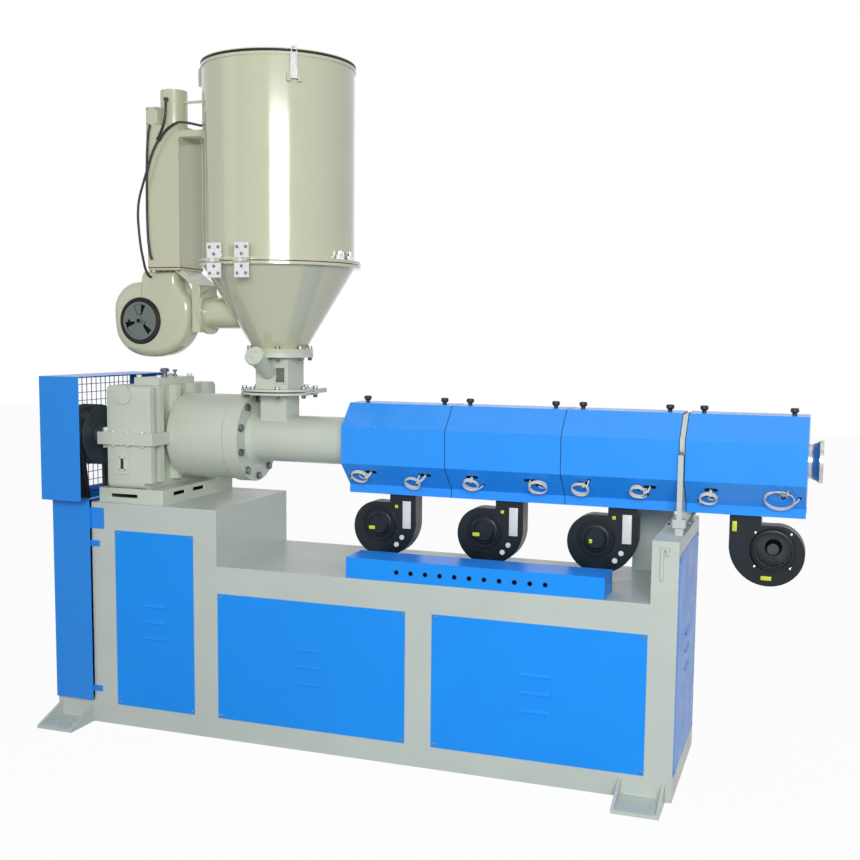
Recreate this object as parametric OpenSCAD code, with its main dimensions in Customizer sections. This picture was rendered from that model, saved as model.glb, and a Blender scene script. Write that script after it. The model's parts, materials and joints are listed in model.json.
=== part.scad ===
// Single-screw plastics extruder on a box frame, with a belt-driven gearbox, a covered and
// air-cooled barrel, and a tilting hopper dryer on the feed throat.
// The barrel lies along X and points to +X, Y runs away from the operator, the floor is at Z 0.
// The origin is the centre of the anchor holes in the four feet.

/* [Base frame] */
// Length of the frame without the low rail
frame_l = 2090; // [1900:10:2300]
// Width of the frame
frame_w = 545; // [500:5:620]
// Length of the tall tower under the gearbox
tower_l = 510; // [450:5:560]
// Height of the tower and of the end column
tower_h = 815; // [780:5:860]
// Height of the bench between them
bench_h = 618; // [580:2:660]
// Length of the end column
column_l = 82; // [70:2:110]
// Wall of the frame plate
frame_wall = 6; // [4:0.5:10]
// Length of the low rail under the belt duct
rail_l = 160; // [150:5:200]

/* [Feet] */
// Length of a foot plate
foot_l = 145; // [130:5:150]
// Reach of a foot plate out of the frame
foot_out = 138; // [120:2:160]
// Diameter of an anchor hole
anchor_d = 18; // [14:1:22]
// Distance between the two anchor holes of a foot
anchor_pitch = 68; // [60:2:80]

/* [Belt drive] */
// Length of the belt guard along the barrel
guard_l = 166; // [156:2:180]
// Front of the belt guard, from the barrel's plane
guard_front = 345; // [330:5:380]
// Back of the belt guard, from the barrel's plane
guard_back = 230; // [220:5:260]
// Pitch diameter of the gearbox pulley
big_pulley_d = 214; // [180:2:220]
// Pitch diameter of the motor pulley
small_pulley_d = 100; // [90:2:125]
// Diameter of the motor's body
motor_d = 260; // [220:5:280]
// Length of the motor's body
motor_l = 400; // [340:5:430]

/* [Gearbox] */
// Length of the gearbox along the barrel
gearbox_l = 180; // [170:2:200]
// Half width of the gearbox
box_half_w = 252; // [246:1:262]
// Height of the gearbox
box_h = 368; // [350:2:390]
// Height of the barrel's axis above the gearbox's bottom
axis_h = 180; // [170:2:190]
// Diameter of the barrel flanges
flange_d = 320; // [314:2:326]
// Number of flange bolts
flange_bolts_n = 10; // [8:1:12]

/* [Barrel] */
// Outer diameter of the jacketed feed section
feed_d = 168; // [160:2:176]
// Outer diameter of the heated barrel
barrel_d = 108; // [100:2:120]
// Bore of the barrel
bore_d = 60; // [55:1:65]
// Diameter of the outlet flange
outlet_d = 134; // [124:2:144]
// Turns of the screw's flight
flight_turns = 30; // [24:1:32]

/* [Barrel covers] */
// Half width of the covers
cover_half = 142; // [136:1:150]
// Half height of the covers' upright sides
cover_side = 63; // [54:1:70]
// Length of the last cover
last_cover_l = 361; // [340:1:370]

/* [Cooling blowers] */
// Depth of a blower along Y
blower_w = 68; // [50:2:80]
// Diameter of the blower wheel
wheel_d = 128; // [110:2:134]
// Number of blades on a wheel
blades_n = 20; // [12:1:24]

/* [Hopper] */
// Width of the hopper base
base_w = 128; // [120:2:140]
// Diameter of the gate flanges
gate_d = 277; // [260:1:290]
// Height of the cone
cone_h = 310; // [300:1:320]
// Diameter of the hopper body
hopper_d = 534; // [520:1:544]
// Height of the hopper body
body_h = 682; // [600:2:720]

/* [Dryer] */
// Length of the heater box along the barrel
heater_l = 132; // [120:1:136]
// Half width of the heater box
heater_half_w = 83; // [76:1:90]
// Height of the heater box
heater_h = 506; // [440:2:540]
// Diameter of the air tube
air_tube_d = 98; // [86:2:110]
// Width of the dryer blower
dryer_fan_w = 110; // [100:2:120]

/* [Hidden] */
$fn = 64;

// Shared clearances and overruns
fit_gap = 0.3;
shaft_gap = 0.05;
cut = 1;

// Feet, and the frame's left end in the model's frame
foot_left_x = -78;
foot_inset = 92;
foot_right_x = frame_l - foot_inset;
x0 = -(foot_left_x + foot_right_x) / 2;
half_w = frame_w / 2;
foot_t = 12;
anchor_out = 78;
gusset_h = 62;
gusset_t = 10;

// Heights above the floor, each from the piece below
riser_h = 53;
box_low = tower_h + riser_h;
axis_z = box_low + axis_h;
box_top = box_low + box_h;
gate_rise = 169;
gate_z = axis_z + gate_rise;
base_h = 141;
cone_z = gate_z + base_h;
ring_z = cone_z + cone_h;
hopper_top = ring_z + body_h;
air_pipe_rise = 141;
air_pipe_z = cone_z + air_pipe_rise;
heater_drop = 9;
heater_low = ring_z - heater_drop;
heater_top = heater_low + heater_h;
fan_drop = 191;
dryer_fan_z = heater_low - fan_drop;

// Places along the barrel, from the frame's left end and in the model's frame
box_x = 60;
joint_x = 500;
joint = x0 + joint_x;
hopper_offset = 121;
hopper = joint + hopper_offset;
barrel_over = 397;
barrel_end = x0 + frame_l + barrel_over;
box_start = x0 + box_x;
box_end = box_start + gearbox_l;
flange_t = 30;

// Lay a profile of X and Z points flat and give it a depth along Y, centred
module along_y(depth) rotate([90, 0, 0]) linear_extrude(depth, center = true) children();

// Stand a profile of Y and Z points up and run it along X
module along_x(length) rotate([90, 0, 90]) linear_extrude(length) children();

// Turn a profile of radius and X points about the X axis
module turned_x() rotate([0, 90, 0]) rotate_extrude() children();

// Turn a profile of radius and depth points about an axis along Y
module turned_y() rotate([-90, 0, 0]) rotate_extrude() children();

// Round bar along X from a start point
module bar_x(d, l) rotate([0, 90, 0]) cylinder(d = d, h = l);

// Round bar along Y, centred on its middle
module bar_y(d, l) rotate([90, 0, 0]) cylinder(d = d, h = l, center = true);

// Box between two corners
module block(low, high) translate(low) cube(high - low);

// Tube solid swept along points, with a ring of corners at each point
function unit(v) = v / norm(v);
function heading(p, i) = unit(p[min(i + 1, len(p) - 1)] - p[max(i - 1, 0)]);
function ring(p, i, r, sides, up) = let (t = heading(p, i), n = unit(cross(up, t)), b = cross(t, n))
  [for (k = [0 : sides - 1]) p[i] + r * (cos(360 * k / sides) * n + sin(360 * k / sides) * b)];
module tube_along(p, r, sides, up = [0, 1, 0]) {
  rings = [for (i = [0 : len(p) - 1]) each ring(p, i, r, sides, up)];
  last = (len(p) - 1) * sides;
  walls = [for (i = [0 : len(p) - 2]) for (k = [0 : sides - 1])
    let (a = i * sides + k, b = i * sides + (k + 1) % sides)
    each [[a, b, b + sides], [a, b + sides, a + sides]]];
  polyhedron(rings, concat([[for (k = [0 : sides - 1]) sides - 1 - k]], walls,
    [[for (k = [0 : sides - 1]) last + k]]));
}

// Panels, the gaps between them and their screws
panel_t = 2;
panel_low = 76;
panel_lap = 20;
screw_inset = 10;
screw_head_d = 11;
tower_panel_x = 99;
tower_panel_l = 319;
tower_panel_drop = 97;
tower_panel_top = tower_h - tower_panel_drop;
bench_start_gap = 4;
bench_mid_gap = 93;
bench_end_gap = 87;
bench_panel_1_x = tower_l + bench_start_gap;
bench_panel_l = (frame_l - bench_end_gap - bench_mid_gap - bench_panel_1_x) / 2;
bench_panel_2_x = bench_panel_1_x + bench_panel_l + bench_mid_gap;
bench_panel_drop = 96;
bench_panel_top = bench_h - bench_panel_drop;
end_panel_drop = 50;
end_panel_top = tower_h - end_panel_drop;
end_panel_margin = 24;

// Base frame: one welded box with windows behind the panels
rail_h = 82;
floor_rim = 45;
rear_box_l = 138;
rear_box_w = 42;
rear_box_rise = 17;
rear_box_top = tower_h + rear_box_rise;
window_bays = [
  [tower_panel_x, tower_panel_l, tower_panel_top],
  [bench_panel_1_x, bench_panel_l, bench_panel_top],
  [bench_panel_2_x, bench_panel_l, bench_panel_top]
];
bay_walls = [
  frame_wall / 2, tower_l - frame_wall / 2,
  (bench_panel_1_x + bench_panel_l + bench_panel_2_x) / 2, frame_l - frame_wall / 2
];

module frame_side() polygon([
  [0, 0], [frame_l, 0], [frame_l, tower_h], [frame_l - column_l, tower_h],
  [frame_l - column_l, bench_h], [tower_l, bench_h], [tower_l, tower_h], [0, tower_h]
]);

module frame_bays() {
  inner_w = frame_w - 2 * frame_wall;
  for (i = [0 : 2]) {
    a = bay_walls[i] + frame_wall / 2;
    b = bay_walls[i + 1] - frame_wall / 2;
    top = i == 0 ? tower_h : bench_h;
    block([a, -inner_w / 2, frame_wall], [b, inner_w / 2, top - frame_wall]);
    block([a + floor_rim, floor_rim - half_w, -cut], [b - floor_rim, half_w - floor_rim, bench_h / 2]);
  }
  block([frame_l - column_l + frame_wall, -inner_w / 2, bench_h / 2],
    [frame_l - frame_wall, inner_w / 2, tower_h - frame_wall]);
}

module foot(side) {
  edge = side * half_w;
  out = side * (half_w + foot_out);
  difference() {
    translate([-foot_l / 2, min(edge, out), 0]) cube([foot_l, foot_out, foot_t]);
    for (s = [-1, 1]) translate([s * anchor_pitch / 2, side * (half_w + anchor_out), -cut])
      cylinder(d = anchor_d, h = foot_t + 2 * cut);
  }
  for (s = [-1, 1]) translate([s * (foot_l - gusset_t) / 2 - gusset_t / 2, 0, 0])
    along_x(gusset_t) polygon([[edge, foot_t], [out, foot_t], [edge, gusset_h]]);
}

module base_frame() {
  color([0.72, 0.76, 0.73]) translate([x0, 0, 0]) difference() {
    union() {
      along_y(frame_w) frame_side();
      block([-rail_l, -half_w, 0], [0, half_w, rail_h]);
      block([frame_l - column_l - rear_box_l, half_w - rear_box_w, bench_h],
        [frame_l - column_l, half_w, rear_box_top]);
      for (x = [foot_left_x, foot_right_x], s = [-1, 1]) translate([x, 0, 0]) foot(s);
    }
    frame_bays();
    for (w = window_bays) block([w[0] + panel_lap, -half_w - cut, panel_low + panel_lap],
      [w[0] + w[1] - panel_lap, half_w + cut, w[2] - panel_lap]);
    block([frame_l - 2 * frame_wall, end_panel_margin + panel_lap - half_w, panel_low + panel_lap],
      [frame_l + cut, half_w - end_panel_margin - panel_lap, end_panel_top - panel_lap]);
    block([frame_wall - rail_l, frame_wall - half_w, -cut],
      [-frame_wall, half_w - frame_wall, rail_h - frame_wall]);
    translate([-cut, -motor_y, motor_z]) bar_x(small_pulley_d, frame_wall + 2 * cut);
  }
  color([0.72, 0.76, 0.73]) translate([x0 + frame_l - column_l / 2, -half_w, handle_z]) column_handle();
}

// Hooked bracket on the end column
handle_drop = 118;
handle_z = tower_h - handle_drop;
handle_w = 24;
handle_h = 101;
handle_out = 14;
handle_bar = 8;
module column_handle() {
  block([-handle_w / 2, -handle_out, 0], [handle_bar - handle_w / 2, 0, handle_h]);
  block([-handle_w / 2, -handle_out, handle_h - handle_bar], [handle_w / 2, 0, handle_h]);
  block([handle_w / 2 - handle_bar, -handle_out, handle_h - 3 * handle_bar], [handle_w / 2, 0, handle_h]);
}

// Panels with pressed louvres
louvre_l = 104;
louvre_h = 12;
louvre_pitch = 59;
module louvre() {
  lip = louvre_h / 3;
  rotate([90, 0, 90]) linear_extrude(louvre_l, center = true)
    polygon([[0, louvre_h / 2], [0, louvre_h / 2 - panel_t], [-lip, -louvre_h / 2],
        [-lip - panel_t / 2, -louvre_h / 2],
      [-panel_t / 2, louvre_h / 2]]);
}

module flat_panel(l, h) {
  difference() {
    translate([-l / 2, -panel_t, -h / 2]) cube([l, panel_t, h]);
    for (k = [-1 : 1]) translate([0, 0, k * louvre_pitch - louvre_h / 4])
      cube([louvre_l - 2 * panel_t, 3 * panel_t, louvre_h / 2], center = true);
    for (sx = [-1, 1], sz = [-1, 1])
      translate([sx * (l / 2 - screw_inset), -panel_t / 2, sz * (h / 2 - screw_inset)])
        bar_y(screw_head_d / 2 + fit_gap, 3 * panel_t);
  }
  for (k = [-1 : 1]) translate([0, -panel_t, k * louvre_pitch]) louvre();
}

module side_panel(x, l, top) {
  color([0.2, 0.58, 0.98]) translate([x0 + x + l / 2, -half_w, (top + panel_low) / 2])
    flat_panel(l, top - panel_low);
}

module tower_panel() side_panel(tower_panel_x, tower_panel_l, tower_panel_top);
module bench_panels() for (x = [bench_panel_1_x, bench_panel_2_x])
  side_panel(x, bench_panel_l, bench_panel_top);

module rear_panels() mirror([0, 1, 0]) {
  tower_panel();
  bench_panels();
}

module end_panel() {
  color([0.2, 0.58, 0.98]) translate([x0 + frame_l, 0, (end_panel_top + panel_low) / 2]) rotate([0, 0, 90])
    flat_panel(frame_w - 2 * end_panel_margin, end_panel_top - panel_low);
}

// Screws: a low round head on the panel and a shank through it, one at each corner
module screw_corners(l, h) for (sx = [-1, 1], sz = [-1, 1])
  translate([sx * (l / 2 - screw_inset), 0, sz * (h / 2 - screw_inset)]) children();

module panel_screws() {
  color([0.25, 0.3, 0.38]) {
    for (w = window_bays, m = [0, 1]) mirror([0, m, 0])
      translate([x0 + w[0] + w[1] / 2, -half_w, (w[2] + panel_low) / 2])
        screw_corners(w[1], w[2] - panel_low) panel_head();
    translate([x0 + frame_l, 0, (end_panel_top + panel_low) / 2]) rotate([0, 0, 90])
      screw_corners(frame_w - 2 * end_panel_margin, end_panel_top - panel_low) panel_head();
  }
}

module panel_head() translate([0, -panel_t, 0]) turned_y() polygon([
  [0, -panel_t], [screw_head_d / 3, -panel_t], [screw_head_d / 2, -panel_t / 3],
  [screw_head_d / 2, 0], [screw_head_d / 4, 0], [screw_head_d / 4, panel_t], [0, panel_t]
]);

// Belt guard: a sheet box, open to the gearbox and over the duct, with a mesh side
guard_gap = 8;
guard_t = 2;
guard_lift = 10;
guard_low = tower_h + guard_lift;
guard_rise = 220;
guard_top = axis_z + guard_rise;
duct_front = 285;
input_y = 150;
motor_y = 70;
motor_z = 285;
guard_x = x0 + guard_gap - guard_l;
guard_rail = 16;
module belt_guard() {
  color([0.18, 0.5, 0.9]) difference() {
    block([guard_x, -guard_front, guard_low], [guard_x + guard_l, guard_back, guard_top]);
    block([guard_x + guard_t, guard_t - guard_front, guard_low + guard_t],
      [guard_x + guard_l + cut, guard_back - guard_t, guard_top - guard_t]);
    block([guard_x + guard_rail, guard_rail - duct_front, guard_low - cut],
      [x0 - guard_rail, guard_back - guard_rail, guard_low + 2 * guard_t]);
    block([guard_x - cut, guard_rail - guard_front, guard_low + guard_rail],
      [guard_x + 2 * guard_t, guard_back - guard_rail, guard_top - guard_rail]);
  }
}

// Square mesh behind the guard's open side, its wires welded where they cross
mesh_pitch = 29;
mesh_wire = 2.5;
module guard_mesh() {
  lap = guard_rail / 3;
  low_y = lap - guard_front + guard_t;
  high_y = guard_back - guard_t - lap;
  low_z = guard_low + guard_t + lap;
  high_z = guard_top - guard_t - lap;
  count_y = floor((high_y - low_y) / mesh_pitch);
  count_z = floor((high_z - low_z) / mesh_pitch);
  step_y = (high_y - low_y - mesh_wire) / count_y;
  step_z = (high_z - low_z - mesh_wire) / count_z;
  color([0.55, 0.62, 0.75]) translate([guard_x + guard_t, 0, 0]) along_x(mesh_wire) difference() {
    translate([low_y, low_z]) square([high_y - low_y, high_z - low_z]);
    for (i = [0 : count_y - 1], k = [0 : count_z - 1])
      translate([low_y + i * step_y + mesh_wire, low_z + k * step_z + mesh_wire])
        square([step_y - mesh_wire, step_z - mesh_wire]);
  }
}

// Lower belt duct with its two fixing tabs and the bracket to the tower
duct_x = guard_x;
tab_w = 34;
tab_h = 22;
tab_low_z = 127;
tab_drop = 150;
tab_high_z = tower_h - tab_drop;
bracket_drop = 94;
bracket_z = tower_h - bracket_drop;
bracket_h = 75;
bracket_l = 53;
module belt_duct() {
  color([0.16, 0.45, 0.85]) {
    difference() {
      block([duct_x, -duct_front, rail_h], [x0, guard_back, guard_low]);
      block([duct_x + guard_t, guard_t - duct_front, rail_h - cut],
        [x0 + cut, guard_back - guard_t, guard_low + cut]);
    }
    for (z = [tab_low_z, tab_high_z]) {
      block([x0 - guard_t, -duct_front, z - tab_h / 2], [x0, -half_w, z + tab_h / 2]);
      block([x0 - guard_t, -half_w - guard_t, z - tab_h / 2], [x0 + tab_w, -half_w, z + tab_h / 2]);
    }
    block([x0 - guard_t, -duct_front, bracket_z], [x0, -half_w, bracket_z + bracket_h]);
    block([x0 - guard_t, -half_w - 2 * guard_t, bracket_z], [x0 + bracket_l, -half_w,
        bracket_z + bracket_h]);
  }
  color([0.2, 0.24, 0.3]) for (z = [tab_low_z, tab_high_z])
    translate([x0 + tab_w / 2, -half_w - guard_t - screw_inset / 4, z]) bar_y(screw_head_d, screw_inset / 2);
}

// Drive motor: ribbed body on feet in the tower bay, with a bore for its rotor shaft
motor_gap = 40;
motor_x = x0 + motor_gap;
motor_base_h = 34;
motor_foot_t = 14;
rotor_d = 38;
fin_n = 24;
module drive_motor() {
  color([0.3, 0.36, 0.42]) difference() {
    union() {
      translate([motor_x, -motor_y, motor_z]) bar_x(motor_d - 2 * motor_foot_t, motor_l);
      for (i = [0 : fin_n - 1]) translate([motor_x + motor_foot_t * 2, -motor_y, motor_z])
        rotate([i * 360 / fin_n, 0, 0])
          translate([0, -frame_wall / 2, motor_d / 3])
            cube([motor_l * 0.7, frame_wall, motor_d / 6]);
      block([motor_x + motor_l * 0.2, -motor_y - motor_d / 2, frame_wall + motor_base_h],
        [motor_x + motor_l * 0.75, motor_d / 2 - motor_y, frame_wall + motor_base_h + motor_foot_t]);
      for (s = [-1, 1]) translate([0, s * motor_d * 0.3 - motor_y, 0])
        block([motor_x + motor_l * 0.2, -motor_foot_t, frame_wall + motor_base_h],
          [motor_x + motor_l * 0.75, motor_foot_t, motor_z]);
      block([motor_x + motor_l * 0.3, -motor_y - motor_d / 5, motor_z],
        [motor_x + motor_l * 0.62, motor_d / 5 - motor_y, motor_z + motor_d * 0.62]);
    }
    translate([motor_x - cut, -motor_y, motor_z]) bar_x(rotor_d + 2 * shaft_gap, motor_l * 0.8);
  }
  color([0.25, 0.28, 0.32]) for (y = [-motor_y - motor_d / 2, motor_d / 2 - motor_y - motor_base_h])
    block([x0 + frame_wall, y, frame_wall],
      [x0 + tower_l - frame_wall, y + motor_base_h, frame_wall + motor_base_h]);
}

// Grooved pulley profile, revolved about X
belt_n = 4;
belt_pitch = 19;
belt_w = 13;
belt_t = 10;
pulley_l = belt_n * belt_pitch + belt_pitch / 2;
pulley_x = guard_x + (guard_l - guard_gap - pulley_l) / 2;
module pulley(d, bore) {
  groove = belt_w / 2;
  floor_r = d / 2 - belt_t / 2 - 2 * shaft_gap - fit_gap;
  turned_x() difference() {
    translate([bore / 2, 0]) square([d / 2 + belt_t / 3 - bore / 2, pulley_l]);
    for (i = [0 : belt_n - 1]) translate([floor_r - fit_gap, belt_pitch * (i + 3 / 4)]) polygon([
      [0, -groove - fit_gap], [belt_t + 2 * fit_gap, -groove - fit_gap * 4],
      [belt_t + 2 * fit_gap, groove + fit_gap * 4], [0, groove + fit_gap]]);
  }
}

module input_pulley() {
  color([0.12, 0.13, 0.15]) translate([0, -input_y, axis_z]) {
    translate([pulley_x, 0, 0]) pulley(big_pulley_d, input_shaft_d);
    translate([pulley_x + pulley_l, 0, 0]) turned_x()
      translate([input_shaft_d / 2, 0]) square([input_shaft_d / 2, belt_pitch]);
  }
}

module motor_pulley() {
  color([0.16, 0.17, 0.2]) translate([0, -motor_y, motor_z]) {
    translate([pulley_x, 0, 0]) pulley(small_pulley_d, 0);
    translate([pulley_x + pulley_l, 0, 0]) bar_x(rotor_d, motor_x - pulley_x - pulley_l + motor_l * 0.6);
  }
}

// Outline of a belt run round two pulleys, in Y and Z
function arc_points(c, r, a, b, n) = [for (i = [0 : n])
    c + r * [cos(a + (b - a) * i / n), sin(a + (b - a) * i / n)]];
function belt_run(c1, r1, c2, r2) = let (v = c2 - c1, turn = atan2(v[1], v[0]),
    lean = acos((r1 - r2) / norm(v)))
  concat(arc_points(c1, r1, turn + lean, turn + 360 - lean, 24),
      arc_points(c2, r2, turn - lean, turn + lean, 18));

module v_belts() {
  top = [-input_y, axis_z];
  low = [-motor_y, motor_z];
  color([0.1, 0.1, 0.11]) for (i = [0 : belt_n - 1])
    translate([pulley_x + belt_pitch * (i + 3 / 4) - belt_w / 2, 0, 0]) along_x(belt_w) difference() {
      polygon(belt_run(top, big_pulley_d / 2 + belt_t / 2, low, small_pulley_d / 2 + belt_t / 2));
      polygon(belt_run(top, (big_pulley_d - belt_t) / 2 + fit_gap, low,
          (small_pulley_d - belt_t) / 2 + fit_gap));
    }
}

// Riser box between the tower and the gearbox
riser_gap = 20;
riser_l = 264;
riser_x = x0 + riser_gap;
riser_end = riser_x + riser_l;
riser_slot_h = 12;
riser_slot_share = 0.3;
module riser_slots() {
  mid_z = (tower_h + box_low) / 2 + frame_wall;
  slot = box_half_w * riser_slot_share;
  for (y = [-box_half_w * 0.55, -box_half_w * 0.02])
    block([riser_end - 2 * frame_wall, y - slot / 2, mid_z - riser_slot_h / 2],
      [riser_end + cut, y + slot / 2, mid_z + riser_slot_h / 2]);
  block([box_start + box_wall, -box_half_w - cut, mid_z - riser_slot_h],
    [box_start + gearbox_l * 0.66, frame_wall - box_half_w + cut, mid_z]);
}

module gearbox_riser() {
  color([0.72, 0.76, 0.72]) difference() {
    block([riser_x, -box_half_w, tower_h], [riser_end, box_half_w, box_low]);
    block([riser_x + frame_wall, frame_wall - box_half_w, tower_h - cut],
      [riser_end - frame_wall, box_half_w - frame_wall, box_low - frame_wall]);
    riser_slots();
  }
}

// Gearbox castings: half shells that meet on the shafts' plane
box_wall = 12;
rib_depth = 30;
thrust_d = 310;
seam_w = 16;
seam_h = 22;
rib_t = 26;
corner_r = 22;
input_shaft_d = 42;
output_shaft_d = 96;
box_inner_end = box_end - rib_depth;
module box_face(low, high, round_low, round_high) {
  a = round_low ? corner_r : 0;
  b = round_high ? corner_r : 0;
  union() {
    translate([-box_half_w, low + a]) square([2 * box_half_w, high - low - a - b]);
    for (s = [-1, 1]) {
      if (round_low) translate([s * (box_half_w - corner_r), low + corner_r]) circle(corner_r);
      if (round_high) translate([s * (box_half_w - corner_r), high - corner_r]) circle(corner_r);
    }
    if (round_low) translate([corner_r - box_half_w, low]) square([2 * (box_half_w - corner_r), corner_r]);
    if (round_high) translate([corner_r - box_half_w, high - corner_r])
      square([2 * (box_half_w - corner_r), corner_r]);
  }
}

rib_shares = [-0.948, -0.714, -0.258, 0.198, 0.655];
module box_ribs(low, high) for (s = rib_shares)
  block([box_inner_end, s * box_half_w - rib_t / 2, low], [box_end, s * box_half_w + rib_t / 2, high]);

module seam_flange(low, high) difference() {
  block([box_start - 2 * seam_w, -box_half_w - seam_w, low], [box_end + seam_w, box_half_w + seam_w, high]);
  translate([box_end, 0, axis_z]) bar_x(thrust_d + 2 * fit_gap, 2 * seam_w);
}

// Half of the round cap over the input shaft's bearing
module hub_half(side) translate([box_start - 2 * seam_w, -input_y, axis_z]) intersection() {
  bar_x(2 * input_shaft_d, 2 * seam_w);
  block([0, -gearbox_l, min(0, side * gearbox_l)], [gearbox_l, gearbox_l, max(0, side * gearbox_l)]);
}

module shaft_bores() {
  translate([box_start - 3 * seam_w, -input_y, axis_z]) bar_x(input_shaft_d + 2 * shaft_gap, gearbox_l);
  translate([box_start + box_wall + cut, 0, axis_z])
      bar_x(output_shaft_d + 2 * shaft_gap, gearbox_l + 2 * seam_w);
}

module gear_room() block([box_start + box_wall, box_wall - box_half_w, box_low + box_wall],
  [box_inner_end - box_wall, box_half_w - box_wall, box_top - box_wall]);

module gearbox_lower() {
  color([0.78, 0.81, 0.76]) difference() {
    union() {
      intersection() {
        translate([box_start, 0, 0]) along_x(gearbox_l) box_face(box_low, axis_z, true, false);
        union() {
          block([box_start, -box_half_w, box_low], [box_inner_end, box_half_w, axis_z]);
          box_ribs(box_low + corner_r, axis_z - seam_h);
        }
      }
      seam_flange(axis_z - seam_h, axis_z);
      hub_half(-1);
      glass_pad(glass_pad_w, glass_pad_h, seam_w / 3);
    }
    gear_room();
    shaft_bores();
    glass_pad(glass_w, glass_h, seam_w / 3 + panel_t);
  }
}

// Sight glass pad on the gearbox's front
glass_pad_w = 56;
glass_pad_h = 78;
glass_w = 16;
module glass_pad(w, h, out) translate([box_start + gearbox_l * 0.36, -box_half_w,
    box_low + (axis_z - box_low) / 2])
  cube([w, 2 * out, h], center = true);

glass_h = 39;
module oil_sight_glass() color([0.5, 0.2, 0.08]) glass_pad(glass_w, glass_h, seam_w / 3 + panel_t);

boss_d = 65;
boss_out = 8;
module gearbox_upper() {
  color([0.8, 0.83, 0.78]) difference() {
    union() {
      intersection() {
        translate([box_start, 0, 0]) along_x(gearbox_l) box_face(axis_z, box_top, false, true);
        union() {
          block([box_start, -box_half_w, axis_z], [box_inner_end, box_half_w, box_top]);
          box_ribs(axis_z + seam_h, box_top);
        }
      }
      seam_flange(axis_z, axis_z + seam_h);
      translate([box_start + gearbox_l * 0.4, -box_half_w, box_top - boss_d / 2])
          bar_y(boss_d, 2 * boss_out);
      hub_half(1);
    }
    gear_room();
    shaft_bores();
    block([box_start + gearbox_l / 3, -box_half_w * 0.5, box_top - 2 * box_wall],
      [box_inner_end - box_wall, box_half_w / 4, box_top + cut]);
  }
}

// Inspection cover on the gearbox's top
lid_t = 26;
module gearbox_cover() {
  color([0.82, 0.84, 0.79]) translate([box_start + gearbox_l / 3 - box_wall, 0, box_top]) difference() {
    translate([0, -box_half_w * 0.6, 0]) cube([gearbox_l * 0.58, box_half_w * 0.96, lid_t]);
    for (x = [box_wall / 2 + screw_inset / 2, gearbox_l * 0.58 - screw_inset], s = [-1, 1])
      translate([x, box_half_w * (s * 0.42 - 0.12), lid_t / 2]) cylinder(d = screw_inset, h = lid_t);
  }
}

// Gear teeth as involute flanks through three radii
gear_m = 4;
gear_w = 56;
pressure = 20;
wheel_teeth = 60;
pinion_teeth = 15;
tooth_lash = 0.4;
function spread(a) = tan(a) * 180 / PI - a;
function half_tooth(n, r) = let (rp = n * gear_m / 2, rb = rp * cos(pressure))
  90 / n - tooth_lash / rp * 90 / PI + spread(pressure) - spread(acos(min(1, rb / r)));
function gear_points(n) = let (rp = n * gear_m / 2, tip = rp + gear_m * 0.95, foot = rp - gear_m * 1.2,
  base = max(rp * cos(pressure), foot))
  [for (i = [0 : n - 1]) for (q = [[foot, base, -1], [rp, rp, -1], [tip, tip, -1], [tip, tip, 1],
      [rp, rp, 1], [foot, base, 1]])
    let (a = 360 * i / n + q[2] * half_tooth(n, q[1])) q[0] * [cos(a), sin(a)]];

gear_x = box_start + box_wall + (box_inner_end - 2 * box_wall - box_start - gear_w) / 2;
module input_pinion() {
  color([0.6, 0.62, 0.65]) translate([0, -input_y, axis_z]) {
    translate([pulley_x, 0, 0]) bar_x(input_shaft_d, gear_x - pulley_x);
    translate([gear_x, 0, 0]) along_x(gear_w) rotate(180 / pinion_teeth) polygon(gear_points(pinion_teeth));
  }
}

drive_bore = 48;
module output_gear() {
  color([0.58, 0.6, 0.64]) translate([0, 0, axis_z]) {
    translate([gear_x, 0, 0]) along_x(gear_w) difference() {
      polygon(gear_points(wheel_teeth));
      circle(d = drive_bore);
    }
    translate([gear_x + gear_w, 0, 0]) turned_x() polygon([
      [drive_bore / 2, 0], [output_shaft_d / 2, 0], [output_shaft_d / 2, joint - gear_x - gear_w - flange_t],
      [drive_bore / 2, joint - gear_x - gear_w - flange_t]]);
  }
}

// Thrust housing: drum with a flange, bolted to the gearbox; its bearing seat is a bore
module thrust_housing() {
  foot_r = thrust_d / 2;
  start = box_end;
  color([0.76, 0.8, 0.75]) translate([start, 0, axis_z]) {
    turned_x() difference() {
      polygon([
        [output_shaft_d / 2 + shaft_gap, 0], [foot_r, 0], [foot_r, joint - start - flange_t],
        [flange_d / 2, joint - start - flange_t], [flange_d / 2, joint - start],
        [output_shaft_d / 2 + shaft_gap, joint - start]
      ]);
      translate([output_shaft_d / 2 + shaft_gap, flange_t * 2])
          square([flange_t, joint - start - 4 * flange_t]);
    }
  }
}

bolt_circle = 280;
bolt_d = 16;
module bolt_places() for (i = [0 : flange_bolts_n - 1]) rotate([i * 360 / flange_bolts_n + 18, 0, 0])
  translate([0, bolt_circle / 2, 0]) children();

module flange_bolts() {
  head = bolt_d * 0.65;
  color([0.66, 0.7, 0.67]) translate([joint + flange_t, 0, axis_z]) bolt_places() {
    rotate([0, 90, 0]) cylinder(d = bolt_d * 1.75, h = head, $fn = 6);
    translate([-flange_t, 0, 0]) bar_x(bolt_d - 2 * fit_gap, flange_t);
  }
}

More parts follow.
